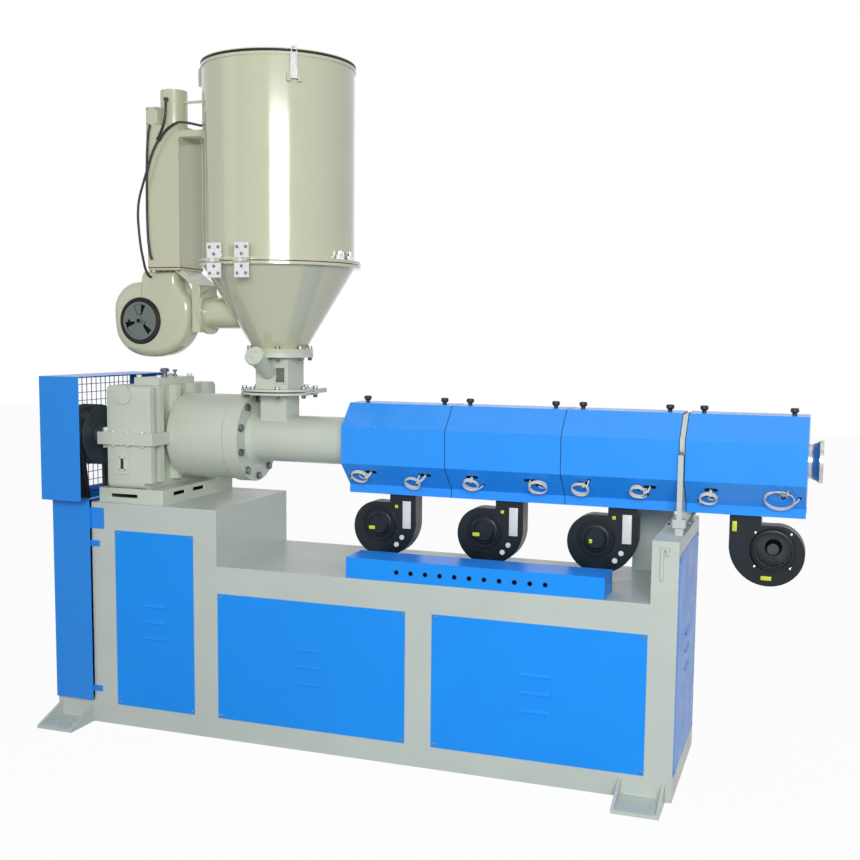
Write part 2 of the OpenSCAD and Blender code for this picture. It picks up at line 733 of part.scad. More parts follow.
// Jacketed feed section with its flange and the square feed neck
throat_w = 50;
neck_w = 104;
cover_x = 924;
cover_lip = 30;
feed_end = x0 + cover_x + cover_lip / 2;
module feed_throat() {
  neck_low = axis_z + feed_d / 4;
  color([0.77, 0.81, 0.77]) difference() {
    union() {
      translate([joint, 0, axis_z]) turned_x() polygon([
        [0, 0], [flange_d / 2, 0], [flange_d / 2, flange_t], [feed_d / 2 + flange_t / 2, flange_t],
        [feed_d / 2, flange_t * 1.5], [feed_d / 2, feed_end - joint], [0, feed_end - joint]
      ]);
      translate([hopper, 0, 0]) {
        block([-neck_w / 2, -neck_w / 2, neck_low], [neck_w / 2, neck_w / 2, gate_z]);
        translate([0, 0, gate_z - gate_plate]) cylinder(d = gate_d, h = gate_plate);
      }
    }
    translate([joint - cut, 0, axis_z]) bar_x(bore_d, feed_end - joint + 2 * cut);
    translate([joint, 0, axis_z]) bolt_places() translate([-cut, 0, 0]) bar_x(bolt_d, flange_t + 2 * cut);
    block([hopper - throat_w / 2, -throat_w / 2, axis_z], [hopper + throat_w / 2, throat_w / 2,
        gate_z + cut]);
  }
}

// Barrel with its outlet flange
lip_t = 12;
flare_l = 24;
module barrel() {
  l = barrel_end - feed_end;
  color([0.6, 0.62, 0.65]) translate([feed_end, 0, axis_z]) turned_x() polygon([
    [bore_d / 2, 0], [barrel_d / 2, 0], [barrel_d / 2, l - lip_t - flare_l],
    [barrel_d / 2 + lip_t / 2, l - lip_t - flare_l / 3], [outlet_d / 2, l - lip_t],
    [outlet_d / 2, l], [bore_d / 2, l]
  ]);
}

// Screw: a core with one flight, its shank driven by the hollow output shaft
core_d = 44;
core_sides = 12;
flight_t = 6;
screw_gap = 1;
tip_l = 40;
screw_start = joint + flange_t;
screw_l = barrel_end - 2 * flange_t - tip_l - screw_start;
flight_pitch = (screw_l - 2 * flight_t) / flight_turns;
function flight_ring(i) = let (a = 360 * i / core_sides, x = flight_t + flight_pitch * i / core_sides,
  r0 = core_d / 2, r1 = bore_d / 2 - screw_gap, w0 = flight_t * 0.75, w1 = flight_t / 2)
  [[x - w0, r0 * sin(a), r0 * cos(a)], [x + w0, r0 * sin(a), r0 * cos(a)],
   [x + w1, r1 * sin(a), r1 * cos(a)], [x - w1, r1 * sin(a), r1 * cos(a)]];

module screw_flight() {
  n = flight_turns * core_sides;
  points = [for (i = [0 : n]) each flight_ring(i)];
  walls = [for (i = [0 : n - 1]) for (k = [0 : 3]) let (a = 4 * i + k, b = 4 * i + (k + 1) % 4)
    each [[a, b, b + 4], [a, b + 4, a + 4]]];
  polyhedron(points, concat([[3, 2, 1, 0]], walls, [[4 * n, 4 * n + 1, 4 * n + 2, 4 * n + 3]]));
}

module extruder_screw() {
  color([0.7, 0.71, 0.73]) translate([screw_start, 0, axis_z]) {
    rotate([0, 90, 0]) cylinder(d = core_d, h = screw_l, $fn = core_sides);
    screw_flight();
    translate([screw_l, 0, 0]) turned_x() polygon([
      [0, 0], [core_d * 0.48, 0], [core_d / 2.4, tip_l / 3], [core_d / 8, tip_l], [0, tip_l]]);
    translate([gear_x - screw_start, 0, 0]) bar_x(drive_bore, screw_start - gear_x);
  }
}

// Covers share the length from the feed section to the barrel support over the column
last_cover_gap = 8;
support_room = 19;
cover_shares = [0.3292, 0.3442, 0.3266];
last_cover_x = frame_l - last_cover_gap;
covers_l = last_cover_x - support_room - cover_x;
cover_lengths = concat(cover_shares * covers_l, [last_cover_l]);
cover_starts = [
  x0 + cover_x, x0 + cover_x + cover_lengths[0], x0 + cover_x + cover_lengths[0] + cover_lengths[1],
  x0 + last_cover_x
];

// Heater bands round the barrel, three in each zone
band_d = 150;
band_l = 96;
bands_per_cover = 3;
module heater_bands() {
  color([0.62, 0.6, 0.56]) for (c = [0 : 3]) {
    step = (cover_lengths[c] - 2 * cover_lip / 3) / bands_per_cover;
    for (i = [0 : bands_per_cover - 1])
      translate([cover_starts[c] + cover_lip / 3 + step * (i + 0.5) - band_l / 2, 0, axis_z]) difference() {
        turned_x() translate([barrel_d / 2, 0]) square([(band_d - barrel_d) / 2, band_l]);
        translate([-cut, -fit_gap * 8, -band_d]) cube([band_l + 2 * cut, fit_gap * 16, band_d]);
      }
  }
}

// Octagonal barrel covers of folded sheet, open below between their lips
cover_t = 2;
fold_share = tan(22.5);
function cover_corners(o, drop) = let (h = cover_half - o, s = cover_side - o * fold_share,
    lip = cover_side - o) [
  [-lip, -cover_half - drop], [-lip, -cover_half + o * fold_share], [-h, -s], [-h, s], [-s, h],
  [s, h], [h, s], [h, -s], [lip, -cover_half + o * fold_share], [lip, -cover_half - drop]];

module cover_sheet(l) along_x(l) difference() {
  polygon(cover_corners(0, cover_lip));
  polygon(cover_corners(cover_t, cover_lip + cut));
}

module cover_end(hole) along_x(cover_t) difference() {
  polygon(cover_corners(cover_t / 2, cover_t));
  circle(d = hole);
}

// Place on the lower front slope of a cover: X at a share of its length, Y up the slope, Z outward
slope_turn = 45;
module on_slope(c, share) translate([cover_starts[c] + cover_lengths[c] * share,
    -(cover_half + cover_side) / 2,
  axis_z - (cover_half + cover_side) / 2]) rotate([90 + slope_turn, 0, 0]) children();

// Each coiled heater lead: cover, share of its length, place up the slope, coil radius, turns and lean
coils = [
  [0, 0.16, 6, 29, 3, 0], [0, 0.66, -14, 27, 3, 200], [1, 0.21, -4, 25, 3, 130], [1, 0.8, 0, 30, 3, 40],
  [2, 0.16, 4, 28, 3, 200], [2, 0.66, 8, 24, 3, 100], [3, 0.2, -10, 27, 3, 20], [3, 0.78, 0, 44, 2, 160]
];
lead_d = 4;
lead_hole_d = lead_d;
coil_stand = 7;
coil_pitch = 5;
coil_tail = 13;
function coil_turn_points(q) = [for (i = [0 : 24 * q[4]]) let (a = 180 + 15 * i)
  [q[3] * cos(a), q[3] * sin(a), coil_stand + coil_pitch * i / 24]];
coil_start_shares = [[0.3, -1], [0.3, 0.4], [0.42, 0.85], [0.7, 0.98]];
function coil_start(q) = [for (k = coil_start_shares) [-q[3] * k[0], 0, coil_stand * k[1]]];
function coil_end(q) = let (top = coil_stand + coil_pitch * q[4], r = q[3]) [
  [-r - lead_d / 4, -lead_d * 1.5, top], [-r - lead_d, -lead_d * 3, top - lead_d / 2],
  [-r - coil_tail * 0.7, -lead_d * 4.2, top / 2 + coil_stand / 2],
      [-r - coil_tail, -lead_d * 4.6, coil_stand / 2],
  [-r - coil_tail, -lead_d * 4.6, -coil_stand]];
function coil_route(q) = concat(coil_start(q), coil_turn_points(q), coil_end(q));
function far_apart(p, skip) = min([for (i = [0 : len(p) - 1 - skip]) for (j = [i + skip : len(p) - 1])
    norm(p[i] - p[j])]);
coil_gap = min([for (q = coils) far_apart(coil_route(q), 6)]) - lead_d;
echo(coil_gap = coil_gap);

module at_coil(q) on_slope(q[0], q[1]) translate([0, q[2], 0]) rotate(q[5]) children();
module lead_holes(c) for (q = coils) if (q[0] == c) at_coil(q)
  for (p = [coil_route(q)[0], coil_route(q)[len(coil_route(q)) - 1]])
    translate([p[0], p[1], -coil_stand]) cylinder(d = lead_hole_d, h = 2 * coil_stand);

module cover(c) {
  color([0.2, 0.58, 0.98]) difference() {
    translate([cover_starts[c], 0, axis_z]) union() {
      translate([fit_gap, 0, 0]) cover_sheet(cover_lengths[c] - 2 * fit_gap);
      if (c == 0) translate([fit_gap, 0, 0]) cover_end(feed_d);
      if (c == 3) translate([cover_lengths[c] - fit_gap - cover_t, 0, 0]) cover_end(barrel_d);
    }
    lead_holes(c);
    translate([cover_starts[c], 0, axis_z])
    for (s = knob_shares) translate([cover_lengths[c] * s, 0, cover_half - 3 * cover_t])
      cylinder(d = knob_stud_d + 2 * fit_gap, h = 6 * cover_t);
  }
}

// Black clamp knobs on the covers' tops, each with its stud
knob_d = 26;
knob_h = 22;
knob_shares = [0.11, 0.87];
knob_stud_d = 8;
module cover_knobs() {
  color([0.08, 0.08, 0.09]) for (c = [0 : 3], s = knob_shares)
    translate([cover_starts[c] + cover_lengths[c] * s, 0, axis_z + cover_half]) {
      rotate_extrude() polygon([
        [0, 0], [knob_d * 0.28, 0], [knob_d * 0.28, knob_h * 0.3], [knob_d / 2, knob_h * 0.45],
        [knob_d / 2, knob_h * 0.85], [knob_d * 0.42, knob_h], [0, knob_h]]);
      translate([0, 0, -3 * cover_t]) cylinder(d = knob_stud_d, h = 4 * cover_t);
    }
}

// Pans that close the covers below, with a port and a mounting plate for each blower
pan_plate_l = 128;
pan_plate_w = 84;
pan_z = axis_z - cover_half - cover_lip;
function port_x(c) = cover_starts[c] + cover_lengths[c] / 2;
module cover_pan(c) {
  w = 2 * (cover_side - cover_t);
  difference() {
    union() {
      block([cover_starts[c] + 3 * cover_t, -w / 2, pan_z + cover_t],
        [cover_starts[c] + cover_lengths[c] - 3 * cover_t, w / 2, pan_z + 2 * cover_t]);
      for (s = [-1, 1]) block([cover_starts[c] + 3 * cover_t, s * (w - cover_t) / 2 - cover_t / 2,
          pan_z + 2 * cover_t],
        [cover_starts[c] + cover_lengths[c] - 3 * cover_t, s * (w - cover_t) / 2 + cover_t / 2,
            pan_z + cover_lip]);
      block([port_x(c) - pan_plate_l / 2, -pan_plate_w / 2, pan_z - cover_t],
        [port_x(c) + pan_plate_l / 2, pan_plate_w / 2, pan_z + cover_t]);
    }
    block([port_x(c) - outlet_w / 2 + 2 * blower_wall, 2 * blower_wall - blower_w / 2, pan_z - 2 * cover_t],
      [port_x(c) + outlet_w / 2 - 2 * blower_wall, blower_w / 2 - 2 * blower_wall, pan_z + cover_lip]);
  }
}

module cover_pans() {
  color([0.2, 0.58, 0.98]) for (c = [0 : 3]) cover_pan(c);
  color([0.1, 0.15, 0.3]) for (c = [0 : 3], sx = [-1, 1], sy = [-1, 1])
    translate([port_x(c) + sx * (pan_plate_l - screw_head_d) / 2, sy * (pan_plate_w - screw_head_d) / 2,
        pan_z - 2 * cover_t])
      cylinder(d = screw_head_d * 0.8, h = cover_t);
}

// Heater leads, each coiled out of one hole and back into another
coil_up = [1, -1, 2];
module heater_leads() color([0.9, 0.88, 0.8]) for (q = coils)
  at_coil(q) tube_along(coil_route(q), lead_d / 2, 6, coil_up);

// Cooling blower: scroll casing with an outlet up into the pan, an inlet ring and a motor
scroll_r0 = 77;
scroll_r1 = 134;
outlet_w = 96;
blower_wall = 2.5;
blower_drop = 108;
scroll_turn = 270;
scroll_steps = 36;
blower_z = pan_z - cover_t - blower_drop;
port_offset = scroll_r1 - outlet_w / 2;
function scroll_points(r0, r1, o) = [for (i = [0 : scroll_steps])
  let (a = 90 + scroll_turn * i / scroll_steps, r = r0 + (r1 - r0) * i / scroll_steps - o)
      r * [cos(a), sin(a)]];

module scroll_outline(o, top) {
  polygon(concat([[scroll_r1 - outlet_w + o, scroll_r0 - o]], scroll_points(scroll_r0, scroll_r1, o)));
  translate([scroll_r1 - outlet_w + o, 0]) square([outlet_w - 2 * o, top]);
}

inlet_d = 112;
motor_hub_d = 62;
blower_axle_d = 8;
module blower() {
  difference() {
    union() {
      along_y(blower_w) scroll_outline(0, blower_drop);
      translate([0, blower_w / 2, 0]) turned_y() polygon([
        [inlet_d / 2, 0], [inlet_d / 2 + 4 * blower_wall, 0],
            [inlet_d / 2 + 2 * blower_wall, 2 * blower_wall],
        [inlet_d / 2, 2 * blower_wall]]);
      translate([0, -blower_w / 2, 0]) turned_y() polygon([
        [0, -3 * blower_wall], [motor_hub_d / 2, -3 * blower_wall], [motor_hub_d / 2, -blower_wall],
        [motor_hub_d, -blower_wall], [motor_hub_d, 0], [0, 0]]);
    }
    along_y(blower_w - 2 * blower_wall) scroll_outline(blower_wall, blower_drop + cut);
    translate([0, blower_w / 2, 0]) bar_y(inlet_d, 6 * blower_wall);
    translate([0, -blower_w / 2, 0]) bar_y(blower_axle_d + 2 * shaft_gap, 4 * blower_wall);
  }
}

module blower_at(c) translate([port_x(c) + (c == 3 ? 1 : -1) * port_offset, 0, blower_z])
  rotate([0, 0, c == 3 ? 180 : 0]) children();

module blower_unit(c) color([0.13, 0.15, 0.15]) blower_at(c) blower();

// Blower wheel: back plate, hub, blades and front ring, on its axle
blade_l = 11;
blade_t = 1.2;
wheel_side_gap = 6;
module blade_wheel(d, w, n, axle_d, axle_l) {
  hub_d = d * 0.42;
  turned_y() polygon([[0, -w / 2], [d / 2, -w / 2], [d / 2, blade_t - w / 2], [hub_d / 2, blade_t - w / 2],
    [hub_d / 3, w / 4], [0, w / 4]]);
  translate([0, w / 2 - blade_t, 0]) turned_y() translate([d / 2 - blade_l, 0]) square([blade_l, blade_t]);
  for (i = [0 : n - 1]) rotate([0, i * 360 / n, 0]) translate([d / 2 - 0.95 * blade_l, 0, 0])
      rotate([0, 25, 0])
    translate([0, blade_t / 2 - w / 2, 0]) cube([blade_l * 0.85, w - blade_t, blade_t]);
  translate([0, -w / 2 - axle_l / 2, 0]) bar_y(axle_d, axle_l);
}

module wheel_unit(c) color([0.2, 0.22, 0.23]) blower_at(c)
  blade_wheel(wheel_d, blower_w - 2 * blower_wall - 2 * wheel_side_gap, blades_n, blower_axle_d,
      wheel_side_gap + blower_wall);

// Wiring tray: a folded cover on the bench with a row of cable holes
tray_x = 1000;
tray_end_gap = 141;
tray_l = frame_l - column_l - tray_end_gap - tray_x;
tray_w = 134;
tray_h = 70;
tray_t = 2;
tray_holes_n = 11;
tray_hole_d = 13;
tray_hole_x = 180;
tray_hole_end = 187;
tray_hole_pitch = (tray_l - tray_hole_x - tray_hole_end) / (tray_holes_n - 1);
module wiring_tray() {
  x = x0 + tray_x;
  color([0.2, 0.58, 0.98]) difference() {
    block([x, -half_w, bench_h], [x + tray_l, tray_w - half_w, bench_h + tray_h]);
    block([x + tray_t, tray_t - half_w, bench_h - cut], [x + tray_l - tray_t, tray_w - half_w - tray_t,
        bench_h + tray_h - tray_t]);
    for (i = [0 : tray_holes_n - 1]) translate([x + tray_hole_x + i * tray_hole_pitch, -half_w,
        bench_h + tray_h * 0.46])
      bar_y(tray_hole_d, 4 * tray_t);
  }
}

// Barrel support between the covers: a clamp plate in two halves on a foot
support_t = 16;
support_out = 22;
support_ear = 18;
support_x = (cover_starts[2] + cover_lengths[2] + cover_starts[3] - support_t) / 2;
foot_block_h = 26;
foot_block_l = 38;
post_h = 24;
module support_bolts(l) for (s = [-1, 1])
  translate([support_x + support_t / 2, s * (cover_half + support_out / 2), axis_z])
    cylinder(d = support_t / 2, h = l, center = true);

module support_lower() {
  h = cover_half + support_out;
  base = tower_h;
  color([0.72, 0.76, 0.73]) difference() {
    union() {
      translate([support_x, 0, 0]) along_x(support_t) polygon([
        [-h, base + post_h], [h, base + post_h], [h, axis_z], [-h, axis_z]]);
      for (s = [-1, 1]) {
        translate([support_x + (support_t - foot_block_l) / 2,
            s * (h - foot_block_l / 2) - foot_block_l / 2, base + post_h])
          cube([foot_block_l, foot_block_l, foot_block_h]);
        translate([support_x + support_t / 2 - post_h / 2, s * (h - foot_block_l / 2) - post_h / 2, base])
          cube([post_h, post_h, post_h]);
      }
    }
    translate([support_x - cut, 0, axis_z]) bar_x(barrel_d, support_t + 2 * cut);
    support_bolts(4 * support_t);
  }
}

module support_upper() {
  wide = cover_half + support_out;
  h = cover_half - 2 * cover_t;
  s = cover_side;
  color([0.72, 0.76, 0.73]) difference() {
    translate([support_x, 0, axis_z]) along_x(support_t) difference() {
      polygon([[-wide, 0], [-wide, support_ear], [-h, support_ear], [-h, s], [-s, h],
        [s, h], [h, s], [h, support_ear], [wide, support_ear], [wide, 0]]);
      circle(d = barrel_d);
    }
    support_bolts(4 * support_t);
  }
  color([0.45, 0.47, 0.5]) support_bolts(4 * support_t);
}

// Gate: a sliding plate between two round flanges under the hopper base
gate_plate = 8;
gate_t = 4;
gate_room = gate_t + 2 * fit_gap;
gate_w = 96;
gate_reach = 164;
base_z = gate_z + gate_room;
module slide_gate() {
  color([0.74, 0.77, 0.74]) translate([hopper, 0, gate_z + fit_gap]) {
    block([-gate_w / 2, -gate_w / 2, 0], [gate_reach, gate_w / 2, gate_t]);
    block([gate_reach - gate_t, -gate_w / 2, gate_t], [gate_reach, gate_w / 2, 2 * gate_plate]);
  }
}

// Hopper base: the upper gate flange, a square chamber with a window, and the drain tube
cone_flange_d = 240;
base_flange_t = 16;
gate_guide = 20;
drain_d = 58;
drain_drop = 28;
drain_l = 112;
window_w = 50;
base_wall = 5;
module hopper_base() {
  h = cone_z - base_z;
  color([0.77, 0.81, 0.76]) translate([hopper, 0, base_z]) difference() {
    union() {
      cylinder(d = gate_d, h = gate_plate);
      for (s = [-1, 1]) translate([0, s * (gate_w + gate_guide) / 2 + s * fit_gap, -gate_room / 2])
        cube([gate_d / 2, gate_guide, gate_room], center = true);
      block([-base_w / 2, -base_w / 2, 0], [base_w / 2, base_w / 2, h - base_flange_t]);
      translate([0, 0, h - base_flange_t]) cylinder(d = cone_flange_d, h = base_flange_t);
      translate([-base_w / 10, -base_w / 2, h * 0.52]) rotate([-drain_drop, 0, 0]) rotate([90, 0, 0])
        cylinder(d = drain_d, h = drain_l);
      translate([-base_w / 10, -base_w / 2, h * 0.52]) rotate([-drain_drop, 0, 0]) rotate([90, 0, 0])
        translate([0, 0, drain_l - gate_plate]) cylinder(d = drain_d * 1.12, h = gate_plate);
    }
    block([base_wall - base_w / 2, base_wall - base_w / 2, gate_plate],
        [base_w / 2 - base_wall, base_w / 2 - base_wall, h + cut]);
    block([-throat_w * 0.7, -throat_w * 0.7, -gate_room - cut],
        [throat_w * 0.7, throat_w * 0.7, gate_plate + cut]);
    translate([base_w * 0.26, -base_w / 2, h * 0.42])
      cube([window_w * 0.7, 4 * base_wall, window_w], center = true);
  }
}

// Cone with its two flanges and the hot-air pipe stub
hopper_t = 2;
ring_d = 580;
air_pipe_d = 114;
cone_low_d = 190;
cone_flange_t = 14;
ring_t = 10;
cone_slope = (hopper_d - cone_low_d) / 2 / (ring_z - cone_z - cone_flange_t - ring_t);
pipe_flange_d = 158;
pipe_flange_t = 12;
pipe_start = hopper - ring_d / 2;
function cone_r(z) = cone_low_d / 2 + cone_slope * (z - cone_z - cone_flange_t);
module hopper_cone() {
  wall = hopper_t;
  color([0.75, 0.77, 0.68]) difference() {
    union() {
      translate([hopper, 0, 0]) rotate_extrude() polygon([
        [0, cone_z], [cone_flange_d / 2, cone_z], [cone_flange_d / 2, cone_z + cone_flange_t],
        [cone_low_d / 2, cone_z + cone_flange_t], [hopper_d / 2, ring_z - ring_t],
        [ring_d / 2, ring_z - ring_t], [ring_d / 2, ring_z], [0, ring_z]
      ]);
      translate([pipe_start, 0, air_pipe_z]) {
        bar_x(pipe_flange_d, pipe_flange_t);
        bar_x(air_pipe_d, hopper - cone_r(air_pipe_z - air_pipe_d) - pipe_start);
      }
    }
    translate([pipe_start - cut, 0, air_pipe_z]) bar_x(air_pipe_d - 2 * wall, hopper - pipe_start);
    translate([hopper, 0, 0]) rotate_extrude() polygon([
      [0, cone_z - cut], [cone_low_d / 2 - wall, cone_z - cut],
          [cone_low_d / 2 - wall, cone_z + cone_flange_t],
      [hopper_d / 2 - wall, ring_z - ring_t], [hopper_d / 2 - wall, ring_z + cut], [0, ring_z + cut]]);
  }
  color([0.7, 0.72, 0.72]) translate([hopper, 0, air_pipe_z]) air_diffuser();
  color([0.82, 0.83, 0.84]) fixed_leaves();
}

// Air diffuser: a pipe into the cone's middle that blows down through a bell
bell_h = 60;
module air_diffuser() {
  reach = cone_r(air_pipe_z + air_pipe_d / 2) - 2 * hopper_t;
  r = air_pipe_d / 2;
  difference() {
    union() {
      intersection() {
        translate([-reach - air_pipe_d, 0, 0]) bar_x(2 * r, reach + air_pipe_d);
        translate([0, 0, -air_pipe_z]) rotate_extrude() polygon([
          [0, cone_z], [cone_low_d / 2 - hopper_t, cone_z + cone_flange_t],
          [hopper_d / 2 - hopper_t, ring_z - ring_t], [0, ring_z]]);
      }
      translate([0, 0, -bell_h]) cylinder(r = r, h = bell_h + r);
    }
    translate([-hopper_d, 0, 0]) bar_x(2 * r - 2 * hopper_t, hopper_d);
    translate([0, 0, -bell_h - cut]) cylinder(r = r - hopper_t, h = bell_h + r + cut - hopper_t);
  }
}

// Tilt hinges at the front: leaves on the cone's ring, and moving leaves on the body's ring
ring_gasket = 3;
hinge_r = 8;
hinge_pin_d = 10;
hinge_y = -ring_d / 2 - 2 * hinge_r;
hinge_z = ring_z + ring_gasket / 2;
hinge_shares = [-0.159, 0.021];
hinge_places = hinge_shares * ring_d;
leaf_w = 54;
leaf_t = 5;
leaf_h = 58;
knuckle_l = leaf_w / 3;
leaf_hole_d = 8;
leaf_hole_shares = [[0, 0.35], [-0.3, 0.75], [0.3, 0.75]];

// Leaf plate from the hinge line up (side 1) or down (side -1), with its web back to the ring
module leaf(side) {
  low = side > 0 ? hinge_z + ring_gasket / 2 : hinge_z - leaf_h;
  high = side > 0 ? hinge_z + leaf_h : hinge_z - ring_gasket / 2;
  difference() {
    block([-leaf_w / 2, hinge_y + hinge_r - leaf_t, low], [leaf_w / 2, hinge_y + hinge_r, high]);
    for (p = leaf_hole_shares) translate([p[0] * leaf_w, hinge_y, hinge_z + side * p[1] * leaf_h])
        bar_y(leaf_hole_d, 4 * hinge_r);
  }
  web_low = side > 0 ? ring_z + ring_gasket : ring_z - ring_t;
  block([-leaf_w / 2, hinge_y + hinge_r - leaf_t, web_low], [leaf_w / 2, 3 * leaf_t - ring_d / 2 ,
      web_low + ring_t]);
}

module fixed_leaves() for (x = hinge_places) difference() {
  translate([hopper + x, 0, 0]) difference() {
    union() {
      leaf(-1);
      for (s = [-1, 1]) translate([s * knuckle_l - knuckle_l / 2, hinge_y, hinge_z])
          bar_x(2 * hinge_r, knuckle_l);
    }
    block([-knuckle_l / 2 - fit_gap, hinge_y - hinge_r - cut, hinge_z - hinge_r - fit_gap],
      [knuckle_l / 2 + fit_gap, hinge_y + hinge_r + cut, hinge_z + hinge_r]);
    translate([-leaf_w, hinge_y, hinge_z]) bar_x(hinge_pin_d + 2 * shaft_gap, 2 * leaf_w);
  }
  translate([hopper, 0, ring_z - 2 * ring_t]) cylinder(d = ring_d, h = 4 * ring_t);
}

module tilt_hinge() color([0.82, 0.83, 0.84]) for (x = hinge_places) difference() {
  translate([hopper + x, 0, 0]) union() {
    difference() {
      leaf(1);
      for (s = [-1, 1]) translate([s * knuckle_l - knuckle_l / 2 - fit_gap, hinge_y, hinge_z])
        bar_x(2 * hinge_r + 2 * fit_gap, knuckle_l + 2 * fit_gap);
    }
    translate([-knuckle_l / 2 + fit_gap, hinge_y, hinge_z]) bar_x(2 * hinge_r, knuckle_l - 2 * fit_gap);
    translate([-leaf_w / 2, hinge_y, hinge_z]) bar_x(hinge_pin_d, leaf_w);
  }
  translate([hopper, 0, ring_z - 2 * ring_t]) cylinder(d = ring_d, h = 4 * ring_t);
}

// Lugs with bolts that clamp the body's ring down, standing on its flange
clamp_angles = [-15, -3, 178];
clamp_l = 34;
clamp_w = 18;
clamp_h = 30;
module ring_clamps() color([0.78, 0.8, 0.8]) for (a = clamp_angles)
  translate([hopper, 0, ring_z + ring_gasket + ring_t]) rotate(a) difference() {
    union() {
      translate([(hopper_d + ring_d) / 4 - clamp_w / 4, -clamp_l / 2, 0])
          cube([clamp_w / 2, clamp_l, clamp_h / 2]);
      translate([(hopper_d + ring_d) / 4, 0, clamp_h / 2]) cylinder(d = clamp_w, h = clamp_h / 2, $fn = 6);
    }
    cylinder(d = hopper_d, h = 2 * clamp_h);
  }

// Hopper body: a shell with the upper ring flange and a rolled rim
rim_d = 12;
module hopper_body() {
  low = ring_z + ring_gasket;
  color([0.75, 0.77, 0.66]) {
    translate([hopper, 0, 0]) rotate_extrude() polygon([
      [hopper_d / 2 - hopper_t, low], [ring_d / 2, low], [ring_d / 2, low + ring_t],
          [hopper_d / 2, low + ring_t],
      [hopper_d / 2, hopper_top - ring_t], [hopper_d / 2 + rim_d / 3, hopper_top - ring_t],
      [hopper_d / 2 + rim_d / 3, hopper_top], [hopper_d / 2 - hopper_t, hopper_top]
    ]);
    lid_hinge_ears();
    at_latch() latch_base();
  }
}

// Lid with its turned-down edge and hinge ear on the left
lid_sheet = 3;
lid_seal = 8;
module lid_gasket() {
  color([0.08, 0.08, 0.09]) translate([hopper, 0, hopper_top]) rotate_extrude()
    translate([hopper_d / 2 - lid_seal, 0]) square([lid_seal + rim_d / 3, lid_seal]);
}

lid_hinge_out = 32;
lid_hinge_x = hopper - hopper_d / 2 - lid_hinge_out;
lid_hinge_z = hopper_top + lid_seal + fit_gap + lid_sheet;
lid_knuckle_r = 6;
lid_knuckle_l = 20;
lid_arm_w = 18;
module hopper_lid() {
  z = hopper_top + lid_seal + fit_gap;
  color([0.75, 0.77, 0.66]) {
    translate([hopper, 0, z]) rotate_extrude() polygon([
      [0, 0], [hopper_d / 2 + rim_d / 3, 0], [hopper_d / 2 + rim_d / 3, lid_sheet],
      [hopper_d * 0.42, 2 * lid_sheet], [0, 3 * lid_sheet]]);
    difference() {
      block([lid_hinge_x, -lid_arm_w, z], [hopper - hopper_d / 2 + lid_seal, lid_arm_w, z + lid_sheet]);
      for (s = [-1, 1]) translate([lid_hinge_x, s * lid_knuckle_l, lid_hinge_z])
        cube([2 * (lid_knuckle_r + fit_gap), lid_knuckle_l + 2 * fit_gap, 4 * lid_sheet], center = true);
    }
  }
  color([0.8, 0.8, 0.82]) translate([lid_hinge_x, 0, lid_hinge_z]) {
    bar_y(2 * lid_knuckle_r, lid_knuckle_l - 2 * fit_gap);
    bar_y(lid_knuckle_r, 3 * lid_knuckle_l);
  }
}

// Fixed side of the lid hinge: two ears on a strap at the hopper's rim
strap_h = 46;
module lid_hinge_ears() difference() {
  union() {
    block([lid_hinge_x - lid_knuckle_r, -lid_knuckle_l * 1.5, hopper_top - strap_h],
      [hopper - hopper_d / 2 + rim_d, lid_knuckle_l * 1.5, hopper_top - strap_h + lid_sheet]);
    for (s = [-1, 1]) translate([lid_hinge_x, s * lid_knuckle_l, 0]) {
      translate([0, 0, lid_hinge_z]) bar_y(2 * lid_knuckle_r, lid_knuckle_l);
      block([-lid_knuckle_r, -lid_knuckle_l / 2, hopper_top - strap_h],
          [lid_knuckle_r, lid_knuckle_l / 2, lid_hinge_z]);
    }
  }
  translate([lid_hinge_x, 0, lid_hinge_z]) bar_y(lid_knuckle_r + 2 * shaft_gap, 5 * lid_knuckle_l);
  translate([hopper, 0, hopper_top - 2 * strap_h]) cylinder(d = hopper_d - hopper_t, h = 3 * strap_h);
}

// Lever latch on the rim, hinged on a plate below it
latch_angle = -53;
latch_w = 24;
latch_h = 78;
latch_t = 5;
latch_out = 22;
latch_drop = 84;
latch_pin_d = 7;
module at_latch() translate([hopper, 0, hopper_top]) rotate(latch_angle) translate([hopper_d / 2, 0, 0])
    children();
module latch_base() difference() {
  translate([-latch_t, -latch_w, -latch_drop - latch_w / 2])
    cube([latch_t + latch_out / 2 + latch_pin_d, 2 * latch_w, latch_w]);
  translate([0, -latch_w / 2 - fit_gap, -latch_drop - latch_w])
      cube([2 * latch_out, latch_w + 2 * fit_gap, 2 * latch_w]);
  translate([latch_out / 2, 0, -latch_drop]) bar_y(latch_pin_d + 2 * shaft_gap, 3 * latch_w);
}

module lid_latch() color([0.8, 0.8, 0.82]) at_latch() {
  translate([latch_out / 2, 0, -latch_drop]) {
    bar_y(latch_pin_d, 2 * latch_w);
    translate([-latch_t / 2, -latch_w / 2, 0]) cube([latch_t, latch_w, latch_h]);
    translate([0, 0, latch_h]) bar_y(2 * latch_t, latch_w);
  }
}

